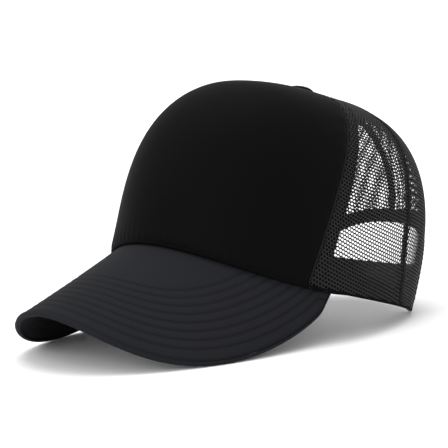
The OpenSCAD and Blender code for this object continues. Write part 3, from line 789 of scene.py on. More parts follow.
@dataclass(frozen=True)
class Finish:
    """A surface: its two shades, gloss, relief and sheen; the relief also darkens the colour in its low parts
    as painted shade.
    """

    name: str
    dark: tuple[float, float, float]
    light: tuple[float, float, float]
    roughness: tuple[float, float] = (0.75, 0.9)
    relief: float = 0.3
    relief_depth: float = 0.15 * MM
    sheen: float = 0.0
    sheen_tint: tuple[float, float, float] = (0.6, 0.6, 0.65)
    specular: float = 0.3
    metallic: float = 0.0
    lint: float = 0.3
    crease_shade_shade: float = 0.6

    def height(self, m: TreeMaker, patterns: Patterns) -> bpy.types.NodeSocket:
        """The relief's height; plain finishes have a fine grain."""
        return m.run("ShaderNodeTexNoise", {
            "Vector": m.run("ShaderNodeTexCoord", {}, "Object"), "Scale": 1400.0, "Detail": 2.0}, "Fac")

    def material(self, patterns: Patterns) -> bpy.types.Material:
        """Builds the material."""
        material = bpy.data.materials.new(self.name)
        material.use_nodes = True
        tree = material.node_tree
        tree.nodes.clear()
        m = TreeMaker(tree)
        place = m.run("ShaderNodeTexCoord", {}, "Object")
        wear = m.add("ShaderNodeGroup", node_tree=patterns.wear)
        m.put(wear.inputs["Vector"], place)
        relief = self.height(m, patterns)
        # Painted shade: the crease mask darkens the base colour in folds, stitch rows and turned-in edges, by
        # tuck_shade.
        crease_shade = m.run("ShaderNodeAttribute", {}, "Fac", attribute_name="crease_shade")
        crease_darkening = m.math("SUBTRACT", 1.0, m.math("MULTIPLY", crease_shade, self.crease_shade_shade))
        # Partly painted shade: the colour is lighter on the relief's high parts and darker in the grooves and
        # pits of knit, twill and foam; the plain finishes' grain and the broad fade are tone that differs at
        # random.
        relief_shade_and_fade = m.math("MULTIPLY_ADD", relief, 0.6, m.math("MULTIPLY", wear.outputs["Fade"], 0.4))
        base = m.add("ShaderNodeMix", data_type="RGBA")
        m.put(base.inputs["Factor"], relief_shade_and_fade)
        m.put(base.inputs[COLOR_A], (*self.dark, 1.0))
        m.put(base.inputs[COLOR_B], (*self.light, 1.0))
        dusty = m.add("ShaderNodeMix", data_type="RGBA")
        m.put(dusty.inputs["Factor"], m.math("MULTIPLY", wear.outputs["Lint"], self.lint))
        m.put(dusty.inputs[COLOR_A], base.outputs[COLOR_RESULT])
        m.put(dusty.inputs[COLOR_B], (*(c * 2.2 + 0.004 for c in self.light), 1.0))
        rough = m.run("ShaderNodeMapRange", {
            "Value": wear.outputs["Fade"], "From Min": 0.3, "From Max": 0.7,
            "To Min": self.roughness[0], "To Max": self.roughness[1]})
        bump = m.run("ShaderNodeBump", {
            "Height": relief, "Strength": self.relief, "Distance": self.relief_depth}, "Normal")
        shader = m.add("ShaderNodeBsdfPrincipled")
        m.put(shader.inputs["Base Color"], m.vector("SCALE", dusty.outputs[COLOR_RESULT], crease_darkening))
        m.put(shader.inputs["Roughness"], rough)
        m.put(shader.inputs["Normal"], bump)
        m.put(shader.inputs["Metallic"], self.metallic)
        m.put(shader.inputs["Specular IOR Level"], self.specular)
        m.put(shader.inputs["Sheen Weight"], self.sheen)
        m.put(shader.inputs["Sheen Roughness"], 0.5)
        m.put(shader.inputs["Sheen Tint"], (*self.sheen_tint, 1.0))
        out = m.add("ShaderNodeOutputMaterial")
        tree.links.new(shader.outputs[0], out.inputs["Surface"])
        return material


@dataclass(frozen=True)
class KnitFinish(Finish):
    """A knitted cloth."""

    wales: float = 900.0
    chevron: float = 0.6

    def height(self, m: TreeMaker, patterns: Patterns) -> bpy.types.NodeSocket:
        """Ribs of chevrons that follow the cloth."""
        return patterned(m, patterns.knit, "UV", Wales=self.wales, Chevron=self.chevron)


@dataclass(frozen=True)
class TwillFinish(Finish):
    """A woven twill cloth."""

    ribs: float = 1000.0
    slant: float = 1.0

    def height(self, m: TreeMaker, patterns: Patterns) -> bpy.types.NodeSocket:
        """Slanting ribs that follow the cloth."""
        return patterned(m, patterns.twill, "UV", Ribs=self.ribs, Slant=self.slant)


@dataclass(frozen=True)
class FoamFinish(Finish):
    """Open-cell foam."""

    cells: float = 900.0

    def height(self, m: TreeMaker, patterns: Patterns) -> bpy.types.NodeSocket:
        """Pits all over."""
        return patterned(m, patterns.cells, "Object", Cells=self.cells)


@dataclass(frozen=True)
class Wardrobe:
    """All the finishes of the cap, as materials."""

    face: bpy.types.Material
    foam: bpy.types.Material
    net: bpy.types.Material
    tape: bpy.types.Material
    visor: bpy.types.Material
    visor_under: bpy.types.Material
    band: bpy.types.Material
    binding: bpy.types.Material
    welt: bpy.types.Material
    thread: bpy.types.Material
    strap: bpy.types.Material
    board: bpy.types.Material
    steel: bpy.types.Material

    @staticmethod
    def cut() -> "Wardrobe":
        """Builds every material."""
        p = Patterns()
        return Wardrobe(
            face=KnitFinish("face_knit", (0.0009, 0.0009, 0.0010), (0.0025, 0.0025, 0.0027), (0.6, 0.75), 0.2,
                            0.10 * MM, specular=0.035, wales=1100.0, lint=0.15).material(p),
            foam=FoamFinish("black_foam", (0.004, 0.004, 0.004), (0.016, 0.016, 0.016), (0.85, 0.95), 0.5,
                            0.3 * MM, specular=0.1, cells=900.0).material(p),
            net=Finish("net_yarn", (0.005, 0.005, 0.005), (0.011, 0.011, 0.011), (0.42, 0.6), 0.2,
                       specular=0.25, lint=0.15).material(p),
            tape=KnitFinish("tape_knit", (0.002, 0.002, 0.0023), (0.013, 0.013, 0.014), (0.75, 0.9), 0.8,
                            0.4 * MM, specular=0.1, wales=560.0, chevron=1.1, lint=0.1).material(p),
            visor=TwillFinish("visor_twill", (0.0068, 0.0071, 0.0085), (0.0133, 0.0138, 0.0165),
                              (0.78, 0.9), 0.35, 0.14 * MM, specular=0.08, ribs=900.0, lint=0.2,
                              crease_shade_shade=0.36).material(p),
            visor_under=TwillFinish("under_twill", (0.006, 0.006, 0.0075), (0.011, 0.0115, 0.0135),
                                    (0.8, 0.92), 0.35, 0.14 * MM, specular=0.08, ribs=900.0,
                                    slant=-1.0).material(p),
            band=KnitFinish("band_terry", (0.004, 0.004, 0.0045), (0.013, 0.013, 0.0145), (0.85, 0.95), 0.7,
                            0.3 * MM, sheen=0.05, specular=0.1, wales=800.0, chevron=0.2).material(p),
            binding=TwillFinish("binding_tape", (0.0025, 0.0025, 0.003), (0.009, 0.009, 0.010),
                                (0.7, 0.85), 0.6, 0.25 * MM, specular=0.15, ribs=700.0,
                                slant=0.0).material(p),
            welt=TwillFinish("welt_cloth", (0.0008, 0.0008, 0.001), (0.0026, 0.0026, 0.003), (0.75, 0.9), 0.4,
                             0.2 * MM, specular=0.04, ribs=700.0, slant=0.6, lint=0.05).material(p),
            thread=Finish("sewing_thread", (0.005, 0.005, 0.0062), (0.011, 0.011, 0.0135), (0.55, 0.7), 0.3,
                          specular=0.15, lint=0.05).material(p),
            strap=Finish("strap_plastic", (0.006, 0.006, 0.0065), (0.010, 0.010, 0.0105), (0.28, 0.42), 0.06,
                         0.1 * MM, specular=0.45, lint=0.15).material(p),
            board=Finish("board_sheet", (0.03, 0.03, 0.03), (0.05, 0.05, 0.05), (0.5, 0.6), 0.1,
                         specular=0.5).material(p),
            steel=Finish("plated_steel", (0.20, 0.20, 0.205), (0.30, 0.30, 0.305), (0.35, 0.5), 0.05,
                         specular=0.5, metallic=1.0, lint=0.05).material(p),
        )


# ---------------------------------------------------------------- sub-assemblies


@dataclass
class FrontPanel:
    """The seamless front: a face cloth laminated to foam, with its edges turned in."""

    crown: CrownForm
    looks: Wardrobe
    columns: int = 150
    rows: int = 110
    edge_w: float = 3.5 * MM
    edge_drop: float = 1.7 * MM
    rim_edge_w: float = 5.0 * MM
    pucker: float = 0.22 * MM
    pucker_pitch: float = 11 * MM
    softness: float = 0.35 * MM

    def _grid(self) -> tuple[Array, Array]:
        """Turns and rises of the panel's points."""
        c = self.crown
        share = eased(np.linspace(0, 1, self.rows)[:, None])
        across = np.sin(np.radians(np.linspace(-90, 90, self.columns)))[None, :]
        across = 0.5 * across + 0.5 * np.linspace(-1, 1, self.columns)[None, :]
        turn = c.front_seam(share) * across
        return turn, share * c.top_rise(turn)

    def _relief(self, turn: Array, rise: Array) -> tuple[Array, Array]:
        """How far the cloth lies under the plain form, and how far its back is pinched, which also marks its
        turned-in edges for painted shade.
        """
        c = self.crown
        to_seam = (c.front_seam(rise) - np.abs(turn)) * c.per_degree(turn, rise)
        to_rim = np.linalg.norm(c.local(turn, rise) - c.local(turn, np.zeros_like(rise)), axis=-1)
        seam = 1 - np.clip(to_seam / self.edge_w, 0, 1)
        rim = 1 - np.clip(to_rim / self.rim_edge_w, 0, 1)
        rounded = np.maximum(1 - np.sqrt(1 - seam**2 * 0.98), 1 - np.sqrt(1 - rim**2 * 0.98))
        along = to_rim / self.pucker_pitch * math.tau
        ripple = self.pucker * np.sin(along) * bell(to_seam, 7 * MM)
        hem = self.pucker * np.sin(turn * 1.7) * bell(to_rim, 9 * MM)
        slow = self.softness * (np.sin(turn * 0.075 + 1.0) * np.sin(rise * 7.5 + 0.4) + 0.5 * np.sin(
            turn * 0.13 - rise * 5.0))
        inner = smooth(np.minimum(to_seam, to_rim) / (16 * MM))
        return self.edge_drop * rounded + ripple + hem + (slow + self.softness) * inner * 0.6, rounded

    def build(self) -> None:
        """Makes the face cloth and its foam."""
        c = self.crown
        turn, rise = self._grid()
        low, pinch_and_shade = self._relief(turn, rise)
        face = c.at(turn, rise, low)
        back = c.at(turn, rise, low + c.face_t)
        # The pinched share also darkens the face cloth's colour along its turned-in edges: painted shade.
        cloth = make_shell("front_face_cloth", face, back, self.looks.face, pinch_and_shade)
        settle(cloth, Body.CAP, ["front_panel_cloth"])
        inside = c.at(turn, rise, np.maximum(c.front_depth - 0.5 * MM * pinch_and_shade, low + c.face_t + 0.4 * MM))
        foam = make_shell("front_foam", c.at(turn, rise, low + c.face_t + 0.02 * MM), inside, self.looks.foam)
        settle(foam, Body.CAP, ["front_panel_foam"])


@dataclass
class NetPanel:
    """One knitted net panel, cut with its rows sloping a little down towards the back."""

    crown: CrownForm
    looks: Wardrobe
    cut: NetCut
    side: Side
    tree: bpy.types.NodeTree
    hole_pitch: float = 2.5 * MM
    row_pitch: float = 2.1 * MM
    row_slope: float = 10.0
    hole_width: float = 0.74
    hole_flatness: float = 0.74
    thread_depth: float = 0.33 * MM

    def _bounds(self, rise: Array) -> tuple[Array, Array]:
        """The panel's two seams at a rise."""
        c = self.crown
        if self.cut is NetCut.SIDE:
            return c.front_seam(rise), c.side_seam(rise)
        return c.side_seam(rise), np.full_like(rise, 180.0)

    def _unrolled(self) -> tuple[Array, Array, tuple[int, int]]:
        """The lattice laid on the panel: turns and rises, and its size in rows and columns."""
        c = self.crown
        rises = np.concatenate([np.linspace(0, 0.06, 60)[:-1], np.linspace(0.06, LATTICE_TOP, 300)])
        low, high = self._bounds(rises)
        middle = (low + high) / 2
        spine = c.local(middle, rises)
        heights = arc_lengths(spine)
        half = float((((high - low) / 2) * c.per_degree(middle, rises)).max())
        reach = math.hypot(half, heights[-1]) + 4 * self.hole_pitch
        cols, rows = int(reach / self.hole_pitch) * 2, int(reach / self.row_pitch) * 2
        i, j = np.meshgrid(np.arange(rows), np.arange(cols), indexing="ij")
        along = (j - cols / 2 + 0.5 * (i % 2)) * self.hole_pitch
        up = (i - rows / 2) * self.row_pitch
        s, k = math.sin(math.radians(self.row_slope)), math.cos(math.radians(self.row_slope))
        round_it = along * k + up * s
        height = -along * s + up * k + heights[-1] / 2
        rise = np.interp(height, heights, rises, left=-1.0, right=2.0)
        mid = np.interp(np.clip(rise, 0, 1), rises, middle)
        turn = mid + round_it / np.maximum(c.per_degree(mid, np.clip(rise, 0, LATTICE_TOP)), 0.05 * MM)
        below = np.where(rise < 0, -height, 0.0)
        above = np.where(rise > 1, height - heights[-1], 0.0)
        rise = np.clip(rise, 0, LATTICE_TOP)
        return np.stack([turn, rise], -1), np.maximum(below, above), (rows, cols)

    def _snapped(self, place: Array, over: Array) -> tuple[Array, Array]:
        """Pulls points just outside the panel onto its edge and says which points are kept."""
        c = self.crown
        turn, rise = place[..., 0], place[..., 1]
        low, high = self._bounds(rise)
        ring = c.per_degree(np.clip(turn, 60, 185), rise)
        beyond = np.maximum.reduce([(low - turn) * ring, (turn - high) * ring, over])
        turn = np.clip(turn, low, high)
        if self.cut is NetCut.BACK:
            zeta = c.zeta_of(turn, rise)
            top = (c.arch_h + c.binding_w - 1.5 * MM) / c.height
            half = c.cut_half_turn - 0.8
            power = c.arch_square
            q = (((180 - turn) / half) ** power + (zeta / top) ** power) ** (1 / power)
            away = np.hypot((180 - turn) * ring, zeta * c.height)
            hole = np.where(q < 1, (1 - q) * away / np.maximum(q, 1e-3), 0)
            beyond = np.maximum(beyond, hole)
            grown = 1 / np.clip(q, 0.05, 1)
            out_turn, out_zeta = 180 - (180 - turn) * grown, zeta * grown
            turn = np.where(q < 1, out_turn, turn)
            rise = np.where(q < 1, c.rise_of(out_turn, out_zeta), rise)
        rise = np.minimum(rise, c.top_rise(turn))
        return np.stack([turn, rise], -1), beyond <= self.hole_pitch * 0.95

    def build(self) -> None:
        c = self.crown
        place, over, (rows, cols) = self._unrolled()
        place, kept = self._snapped(place, over)
        depth = c.mesh_inset + c.mesh_t / 2
        points = c.at(place[..., 0] * self.side.value, place[..., 1], depth)
        along, higher = unit(np.gradient(points, axis=1)), unit(np.gradient(points, axis=0))
        uphill = unit(higher - along * (higher * along).sum(-1, keepdims=True))
        i, j = np.meshgrid(np.arange(rows - 1), np.arange(cols - 1), indexing="ij")
        i, j = i.ravel(), j.ravel()
        a, b, d, e = i * cols + j, i * cols + j + 1, (i + 1) * cols + j, (i + 1) * cols + j + 1
        even = (i % 2 == 0)[:, None]
        first = np.where(even, np.stack([a, b, d], 1), np.stack([a, b, e], 1))
        second = np.where(even, np.stack([d, b, e], 1), np.stack([a, e, d], 1))
        faces = np.concatenate([first, second])
        faces = faces[kept.ravel()[faces].all(1)]
        if self.side is Side.RIGHT:
            faces = faces[:, ::-1]
        used, faces = np.unique(faces, return_inverse=True)
        faces = faces.reshape(-1, 3)
        points = points.reshape(-1, 3)[used]
        name = f"net_{self.cut.value}_{self.side.word}"
        net = make_object(name, points, faces, self.looks.net)
        rise = net.data.attributes.new("rise", "FLOAT_VECTOR", "POINT")
        rise.data.foreach_set("vector", uphill.reshape(-1, 3)[used].astype(np.float32).ravel())
        grow(net, self.tree, Hole_Width=self.hole_width, Hole_Flatness=self.hole_flatness,
             Thread_Depth=self.thread_depth, Material=self.looks.net)
        settle(net, Body.CAP, [f"{self.cut.value}_mesh_{self.side.word}"])
        width, height = self._flat()

    def _flat(self) -> tuple[float, float]:
        """Width and height of the panel's flat cut."""
        c = self.crown
        rises = np.linspace(0, LATTICE_TOP, 80)
        low, high = self._bounds(rises)
        wide = float(((high - low) * c.per_degree((low + high) / 2, rises)).max())
        return wide, float(arc_lengths(c.local((low + high) / 2, rises))[-1])


@dataclass
class SeamTapes:
    """Knitted tapes behind the seams, the folded seam ridges in front, and their stitching."""

    crown: CrownForm
    looks: Wardrobe
    sewing_tree: bpy.types.NodeTree
    rows: int = 90
    low: float = 0.004
    high: float = 0.93
    side_high: float = 0.87
    narrow_w: float = 4.5 * MM
    fold_t: float = 0.25 * MM
    ridge_high: float = 0.985
    ridge_w: float = 1.1 * MM
    ridge_h: float = 0.5 * MM
    front_sewn_at: tuple[float, float] = (2.2 * MM, 8.6 * MM)
    narrow_sewn_at: tuple[float, float] = (-1.9 * MM, 1.9 * MM)
    cord_r: float = 0.75 * MM
    cord_way: float = 0.35 * MM
    cord_depth: float = 1.15 * MM
    wave: float = 0.12 * MM

    def _rises(self, low: float, high: float) -> Array:
        """Rises from near the rim to near the button, evenly spaced along the wall."""
        return low + (high - low) * eased(np.linspace(0, 1, self.rows))

    def _tape(self, name: str, node: str, seam: Array, rises: Array,
              ways: tuple[float, float], side: int) -> None:
        """Makes one tape from one distance beside its seam to another."""
        c = self.crown
        across = np.linspace(ways[0], ways[1], 9)
        r = np.broadcast_to(rises[:, None], (len(rises), len(across)))
        turn = c.shifted(np.broadcast_to(seam[:, None], r.shape), r, np.broadcast_to(across, r.shape))
        run = arc_lengths(c.local(seam, rises))[:, None]
        edge = np.abs(np.linspace(-1, 1, len(across)))[None, :]
        ripple = self.wave * np.sin(run / (7 * MM) * math.tau) * edge**2 + 0.1 * MM * edge**4
        outer = c.at(turn * side, r, c.tape_depth + ripple)
        inner = c.at(turn * side, r, c.tape_depth + c.tape_t + ripple)
        if side < 0:
            outer, inner = outer[:, ::-1], inner[:, ::-1]
        tape = make_shell(name, outer, inner, self.looks.tape)
        settle(tape, Body.CAP, [node])
        grid_area(outer)

    def _narrow(self, name: str, node: str, seam: Array, rises: Array, side: int) -> None:
        """Makes a narrow tape: a strip folded double over the seam's cut edges."""
        c = self.crown
        half, r = self.narrow_w / 2, c.tape_t / 2
        across, sunk = [], []
        fold = np.radians(np.linspace(0, 180, 9)[1:-1])
        for inset in (0.0, self.fold_t):
            k = r - inset
            flat = np.linspace(half - inset * 0.5, -half + r, 8)
            across.append(np.concatenate([flat, -half + r - k * np.sin(fold), flat[::-1]]))
            sunk.append(np.concatenate([np.full(8, r - k), r - k * np.cos(fold), np.full(8, r + k)]))
        run = arc_lengths(c.local(seam, rises))[:, None]
        ripple = self.wave * np.sin(run / (6 * MM) * math.tau)
        grids = []
        for way, sink in zip(across, sunk):
            rr = np.broadcast_to(rises[:, None], (len(rises), len(way)))
            beside = np.broadcast_to(way, rr.shape) + ripple
            turn = c.shifted(np.broadcast_to(seam[:, None], rr.shape), rr, beside)
            grids.append(c.at(turn * side, rr, c.tape_depth + sink[None, :] + 0.3 * ripple))
        tape = make_shell(name, grids[0], grids[1], self.looks.tape)
        face_outwards(tape)
        settle(tape, Body.CAP, [node])

    def _ridge(self, name: str, seam: Array, rises: Array, side: int) -> None:
        """Makes the folded edge that stands a little proud along a net seam."""
        c = self.crown
        angles = np.radians(np.linspace(0, 180, 9))
        across = self.ridge_w * np.cos(angles)[::-1]
        lift = self.ridge_h * np.sin(angles)
        r = np.broadcast_to(rises[:, None], (len(rises), 9))
        turn = c.shifted(np.broadcast_to(seam[:, None], r.shape), r, np.broadcast_to(across, r.shape))
        outer = c.at(turn * side, r, c.mesh_inset + 0.25 * MM - lift[None, :])
        inner = c.at(turn * side, r, np.full_like(r, c.mesh_inset + c.mesh_t * 0.6))
        if side < 0:
            outer, inner = outer[:, ::-1], inner[:, ::-1]
        settle(make_shell(name, outer, inner, self.looks.tape), Body.CAP)

    def _cord(self, name: str, seam: Array, rises: Array, side: int) -> None:
        """Makes the rolled cut edge that fills the joint between the front panel and a net."""
        c = self.crown
        a = np.linspace(0, math.tau, 10, endpoint=False)[None, :] * side
        run = np.linspace(0, 1, len(rises))[:, None]
        radius = self.cord_r * np.sqrt(np.clip(np.minimum(run, 1 - run) / 0.01, 0.05, 1))
        r = np.broadcast_to(rises[:, None], (len(rises), a.size))
        turn = c.shifted(np.broadcast_to(seam[:, None], r.shape), r, self.cord_way + radius * np.cos(a))
        rings = c.at(turn * side, r, self.cord_depth + radius * np.sin(a))
        settle(make_roll(name, rings, self.looks.tape), Body.CAP)

    def _sew(self, threads: tuple[Sewing, Sewing], seam: Array, rises: Array,
             ways: tuple[float, float], side: int) -> None:
        """Sews runs beside a seam, one seen on the net's face and one on the tape behind it."""
        c = self.crown
        for way in ways:
            turn = c.shifted(seam, rises, np.full_like(rises, way)) * side
            for sewing, depth in zip(threads, (c.mesh_inset, c.tape_depth + c.tape_t)):
                sewing.add(c.at(turn, rises, depth), c.normal(turn, rises))

    def build(self) -> None:
        """Makes all the tapes, ridges and stitches of the crown's seams."""
        c = self.crown
        rises = self._rises(self.low, self.high)
        side_rises = self._rises(self.low, self.side_high)
        ridge_rises = self._rises(self.low, self.ridge_high)
        threads = (Sewing("stitches_crown_seams", self.looks.thread),
                   Sewing("stitches_tapes", self.looks.thread))
        for side in Side:
            front, back = c.front_seam(rises), c.side_seam(side_rises)
            word, sign = side.word, side.value
            self._tape(f"tape_front_{word}", f"seam_tape_front_{word}", front, rises,
                       (c.tape_gap, c.tape_w + c.tape_gap), sign)
            self._narrow(f"tape_side_{word}", f"seam_tape_side_{word}", back, side_rises, sign)
            self._ridge(f"seam_ridge_side_{word}", c.side_seam(ridge_rises), ridge_rises, sign)
            self._cord(f"seam_edge_front_{word}", c.front_seam(ridge_rises), ridge_rises, sign)
            self._sew(threads, front, rises, self.front_sewn_at, sign)
            self._sew(threads, back, side_rises, self.narrow_sewn_at, sign)
        start = float(c.rise_of(np.array(180.0), np.array((c.arch_h + c.binding_w) / c.height))) + 0.004
        short = self._rises(start, self.high)
        center = np.full_like(short, 180.0)
        self._narrow("tape_center_back", "seam_tape_center_back", center, short, 1)
        self._ridge("seam_ridge_center_back", center, self._rises(start, self.ridge_high), 1)
        self._sew(threads, center, short, self.narrow_sewn_at, 1)
        for sewing in threads:
            settle(sewing.sew(self.sewing_tree), Body.CAP)


@dataclass
class Sweatband:
    """The terry band inside the rim, with its stiffening strip and its stitching."""

    crown: CrownForm
    looks: Wardrobe
    sewing_tree: bpy.types.NodeTree
    front_h: float = 28 * MM
    side_h: float = 15 * MM
    back_h: float = 6.5 * MM
    thick: float = 0.9 * MM
    gap: float = 0.2 * MM
    backing_turn: float = 60.0
    backing_short: float = 3 * MM

    @property
    def end_turn(self) -> float:
        """Turn at which the band stops, by the arch's binding."""
        return 180 - self.crown.cut_half_turn - 0.6

    def _tall(self, turn: Array) -> Array:
        """Height of the band."""
        a, side = np.abs(turn), self.crown.visor_turn
        front = self.front_h + (self.side_h - self.front_h) * smooth((a - 25) / (side - 25))
        back = self.side_h + (self.back_h - self.side_h) * smooth((a - side) / (self.end_turn - side))
        return np.where(a < side, front, back)

    def _depth(self, turn: Array) -> Array:
        """Depth of the band's outer side."""
        c = self.crown
        front = c.front_depth + self.thick + 2 * self.gap
        back = c.tape_depth + c.tape_t + self.gap
        return front + (back - front) * smooth((np.abs(turn) - c.visor_turn) / 18)

    def _place(self, turn: Array, share: Array, depth: Array, short: float = 0.0) -> Array:
        """Points of the band by their share of its height."""
        c = self.crown
        lift = self.gap + (self._tall(turn) - short - self.gap) * share
        return c.wall(turn, lift / (c.height - c.rim_z(turn)), depth)

    def build(self) -> None:
        """Makes the band, the strip behind it and two rows of stitches."""
        turn = np.linspace(-self.end_turn, self.end_turn, 300)[None, :]
        share = np.linspace(0, 1, 22)[:, None]
        turn, share = np.broadcast_arrays(turn, share)
        body = np.sin(np.pi * np.clip((share - 0.12) / 0.88, 0, 1)) ** 0.6
        pleat = 0.12 * MM * np.sin(turn * 2.1) * (1 - share)
        puff = 0.55 * MM * body - 0.25 * MM * bell(share - 0.13, 0.05) + pleat
        depth = self._depth(turn)
        outer = self._place(turn, share, depth)
        inner = self._place(turn, share, depth + self.thick + puff)
        # The last argument paints shade into the terry's colour along the dip of the lower stitch row.
        band = make_shell("sweatband_terry", outer, inner, self.looks.band, bell(share - 0.13, 0.04))
        settle(band, Body.CAP, ["sweatband"])
        strip_turn = np.linspace(-self.backing_turn, self.backing_turn, 120)[None, :]
        strip_share = np.linspace(0, 1, 8)[:, None]
        t, s = np.broadcast_arrays(strip_turn, strip_share)
        near = self._depth(t)
        strip = make_shell("sweatband_strip",
                           self._place(t, s, near - self.thick - self.gap, self.backing_short),
                           self._place(t, s, near - self.gap, self.backing_short), self.looks.foam)
        settle(strip, Body.CAP, ["sweatband_backing"])
        sewing = Sewing("stitches_sweatband", self.looks.thread, pitch=3.6 * MM, length=3.0 * MM)
        row_turn = np.linspace(-self.end_turn + 1, self.end_turn - 1, 260)
        for share_at, sink in ((0.13, 0.1), (0.93, 0.25)):
            s = np.full_like(row_turn, share_at)
            line = self._place(row_turn, s, self._depth(row_turn) + self.thick + sink * MM)
            sewing.add(line, -self.crown.normal(row_turn, np.full_like(row_turn, 0.02)))
        settle(sewing.sew(self.sewing_tree), Body.CAP)


@dataclass
class RimWelt:
    """The rolled seam along the rim: fat where the visor is sewn on, thin under the net."""

    crown: CrownForm
    looks: Wardrobe
    front_r: float = 1.45 * MM
    side_r: float = 0.75 * MM
    front_depth: float = 1.75 * MM
    side_depth: float = 0.75 * MM
    front_sink: float = 0.55 * MM
    steps: int = 420
    sides: int = 14

    def build(self) -> None:
        """Sweeps the roll round the rim, from one foot of the arch to the other."""
        c = self.crown
        end = 180 - c.cut_half_turn + 1.5
        turn = np.linspace(-end, end, self.steps)
        away = smooth((np.abs(turn) - c.visor_turn) / 7)
        r = self.front_r + (self.side_r - self.front_r) * away
        r = r * (1 + 0.025 * np.sin(turn * 1.9)) * np.sqrt(np.clip((end - np.abs(turn)) / 0.8, 0.05, 1))
        depth = self.front_depth + (self.side_depth - self.front_depth) * away
        lift = r - self.front_sink * (1 - away)
        middle = c.wall(turn, lift / c.height, depth)
        out = c.normal(turn, np.full_like(turn, 0.01))
        up = unit(c.seated(np.array([0.0, 0, 1])) - c.seated(np.zeros(3)))
        up = unit(up - out * (out @ up)[:, None])
        a = np.linspace(0, math.tau, self.sides, endpoint=False)
        rings = middle[:, None] + r[:, None, None] * (
            np.cos(a)[None, :, None] * out[:, None] + np.sin(a)[None, :, None] * up[:, None])
        settle(make_roll("rim_welt", rings, self.looks.welt), Body.CAP)


@dataclass
class BackArch:
    """The folded tape that binds the back opening, with two rows of stitches."""

    crown: CrownForm
    looks: Wardrobe
    sewing_tree: bpy.types.NodeTree
    steps: int = 140
    cloth_t: float = 0.35 * MM
    sewn_at: tuple[float, float] = (0.24, 0.78)
    sewn_press: float = 0.22
    sewn_press_w: float = 0.7 * MM

    def _section(self, inset: float) -> tuple[Array, Array]:
        """Shares across the binding and depths, from its front edge round the fold to its back."""
        c = self.crown
        middle, half = c.mesh_inset + c.mesh_t / 2, c.mesh_t / 2 + c.binding_lip
        r = half - inset
        way = np.linspace(c.binding_w, half, 22)
        near_fold, near_edge = (bell(way - share * c.binding_w, self.sewn_press_w) for share in self.sewn_at)
        pressed = 1 - self.sewn_press * (near_edge + near_fold)
        line = r * pressed * (1.0 - 0.25 * smooth((way / c.binding_w - 0.85) / 0.15))
        fold = np.radians(np.linspace(0, 180, 13)[1:-1])
        across = np.concatenate([way, half - r * np.sin(fold), way[::-1]])
        depth = np.concatenate([middle - line, middle - r * np.cos(fold), middle + line[::-1]])
        return across / c.binding_w, depth

    def build(self) -> None:
        """Folds the tape over the arch's edge and sews it."""
        c = self.crown
        psi = np.linspace(0, 180, self.steps)[:, None]
        ripple = 0.06 * MM * np.sin(psi * 1.3)
        grids = []
        for inset in (0.0, self.cloth_t):
            across, depth = self._section(inset)
            turn, zeta = c.arch(psi, across[None, :])
            grids.append(c.wall(turn, zeta, depth[None, :] + ripple))
        tape = make_shell("arch_binding_tape", grids[0], grids[1], self.looks.binding)
        face_outwards(tape)
        settle(tape, Body.CAP, ["arch_binding"])
        sewing = Sewing("stitches_arch", self.looks.thread)
        way = np.linspace(4, 176, 160)
        for share in self.sewn_at:
            turn, zeta = c.arch(way, np.full_like(way, share))
            ups = c.normal(turn, c.rise_of(turn, zeta))
            sewing.add(c.wall(turn, zeta, c.mesh_inset - c.binding_lip * 0.86), ups)
            sewing.add(c.wall(turn, zeta, c.mesh_inset + c.mesh_t + c.binding_lip * 0.86), -ups)
        settle(sewing.sew(self.sewing_tree), Body.CAP)


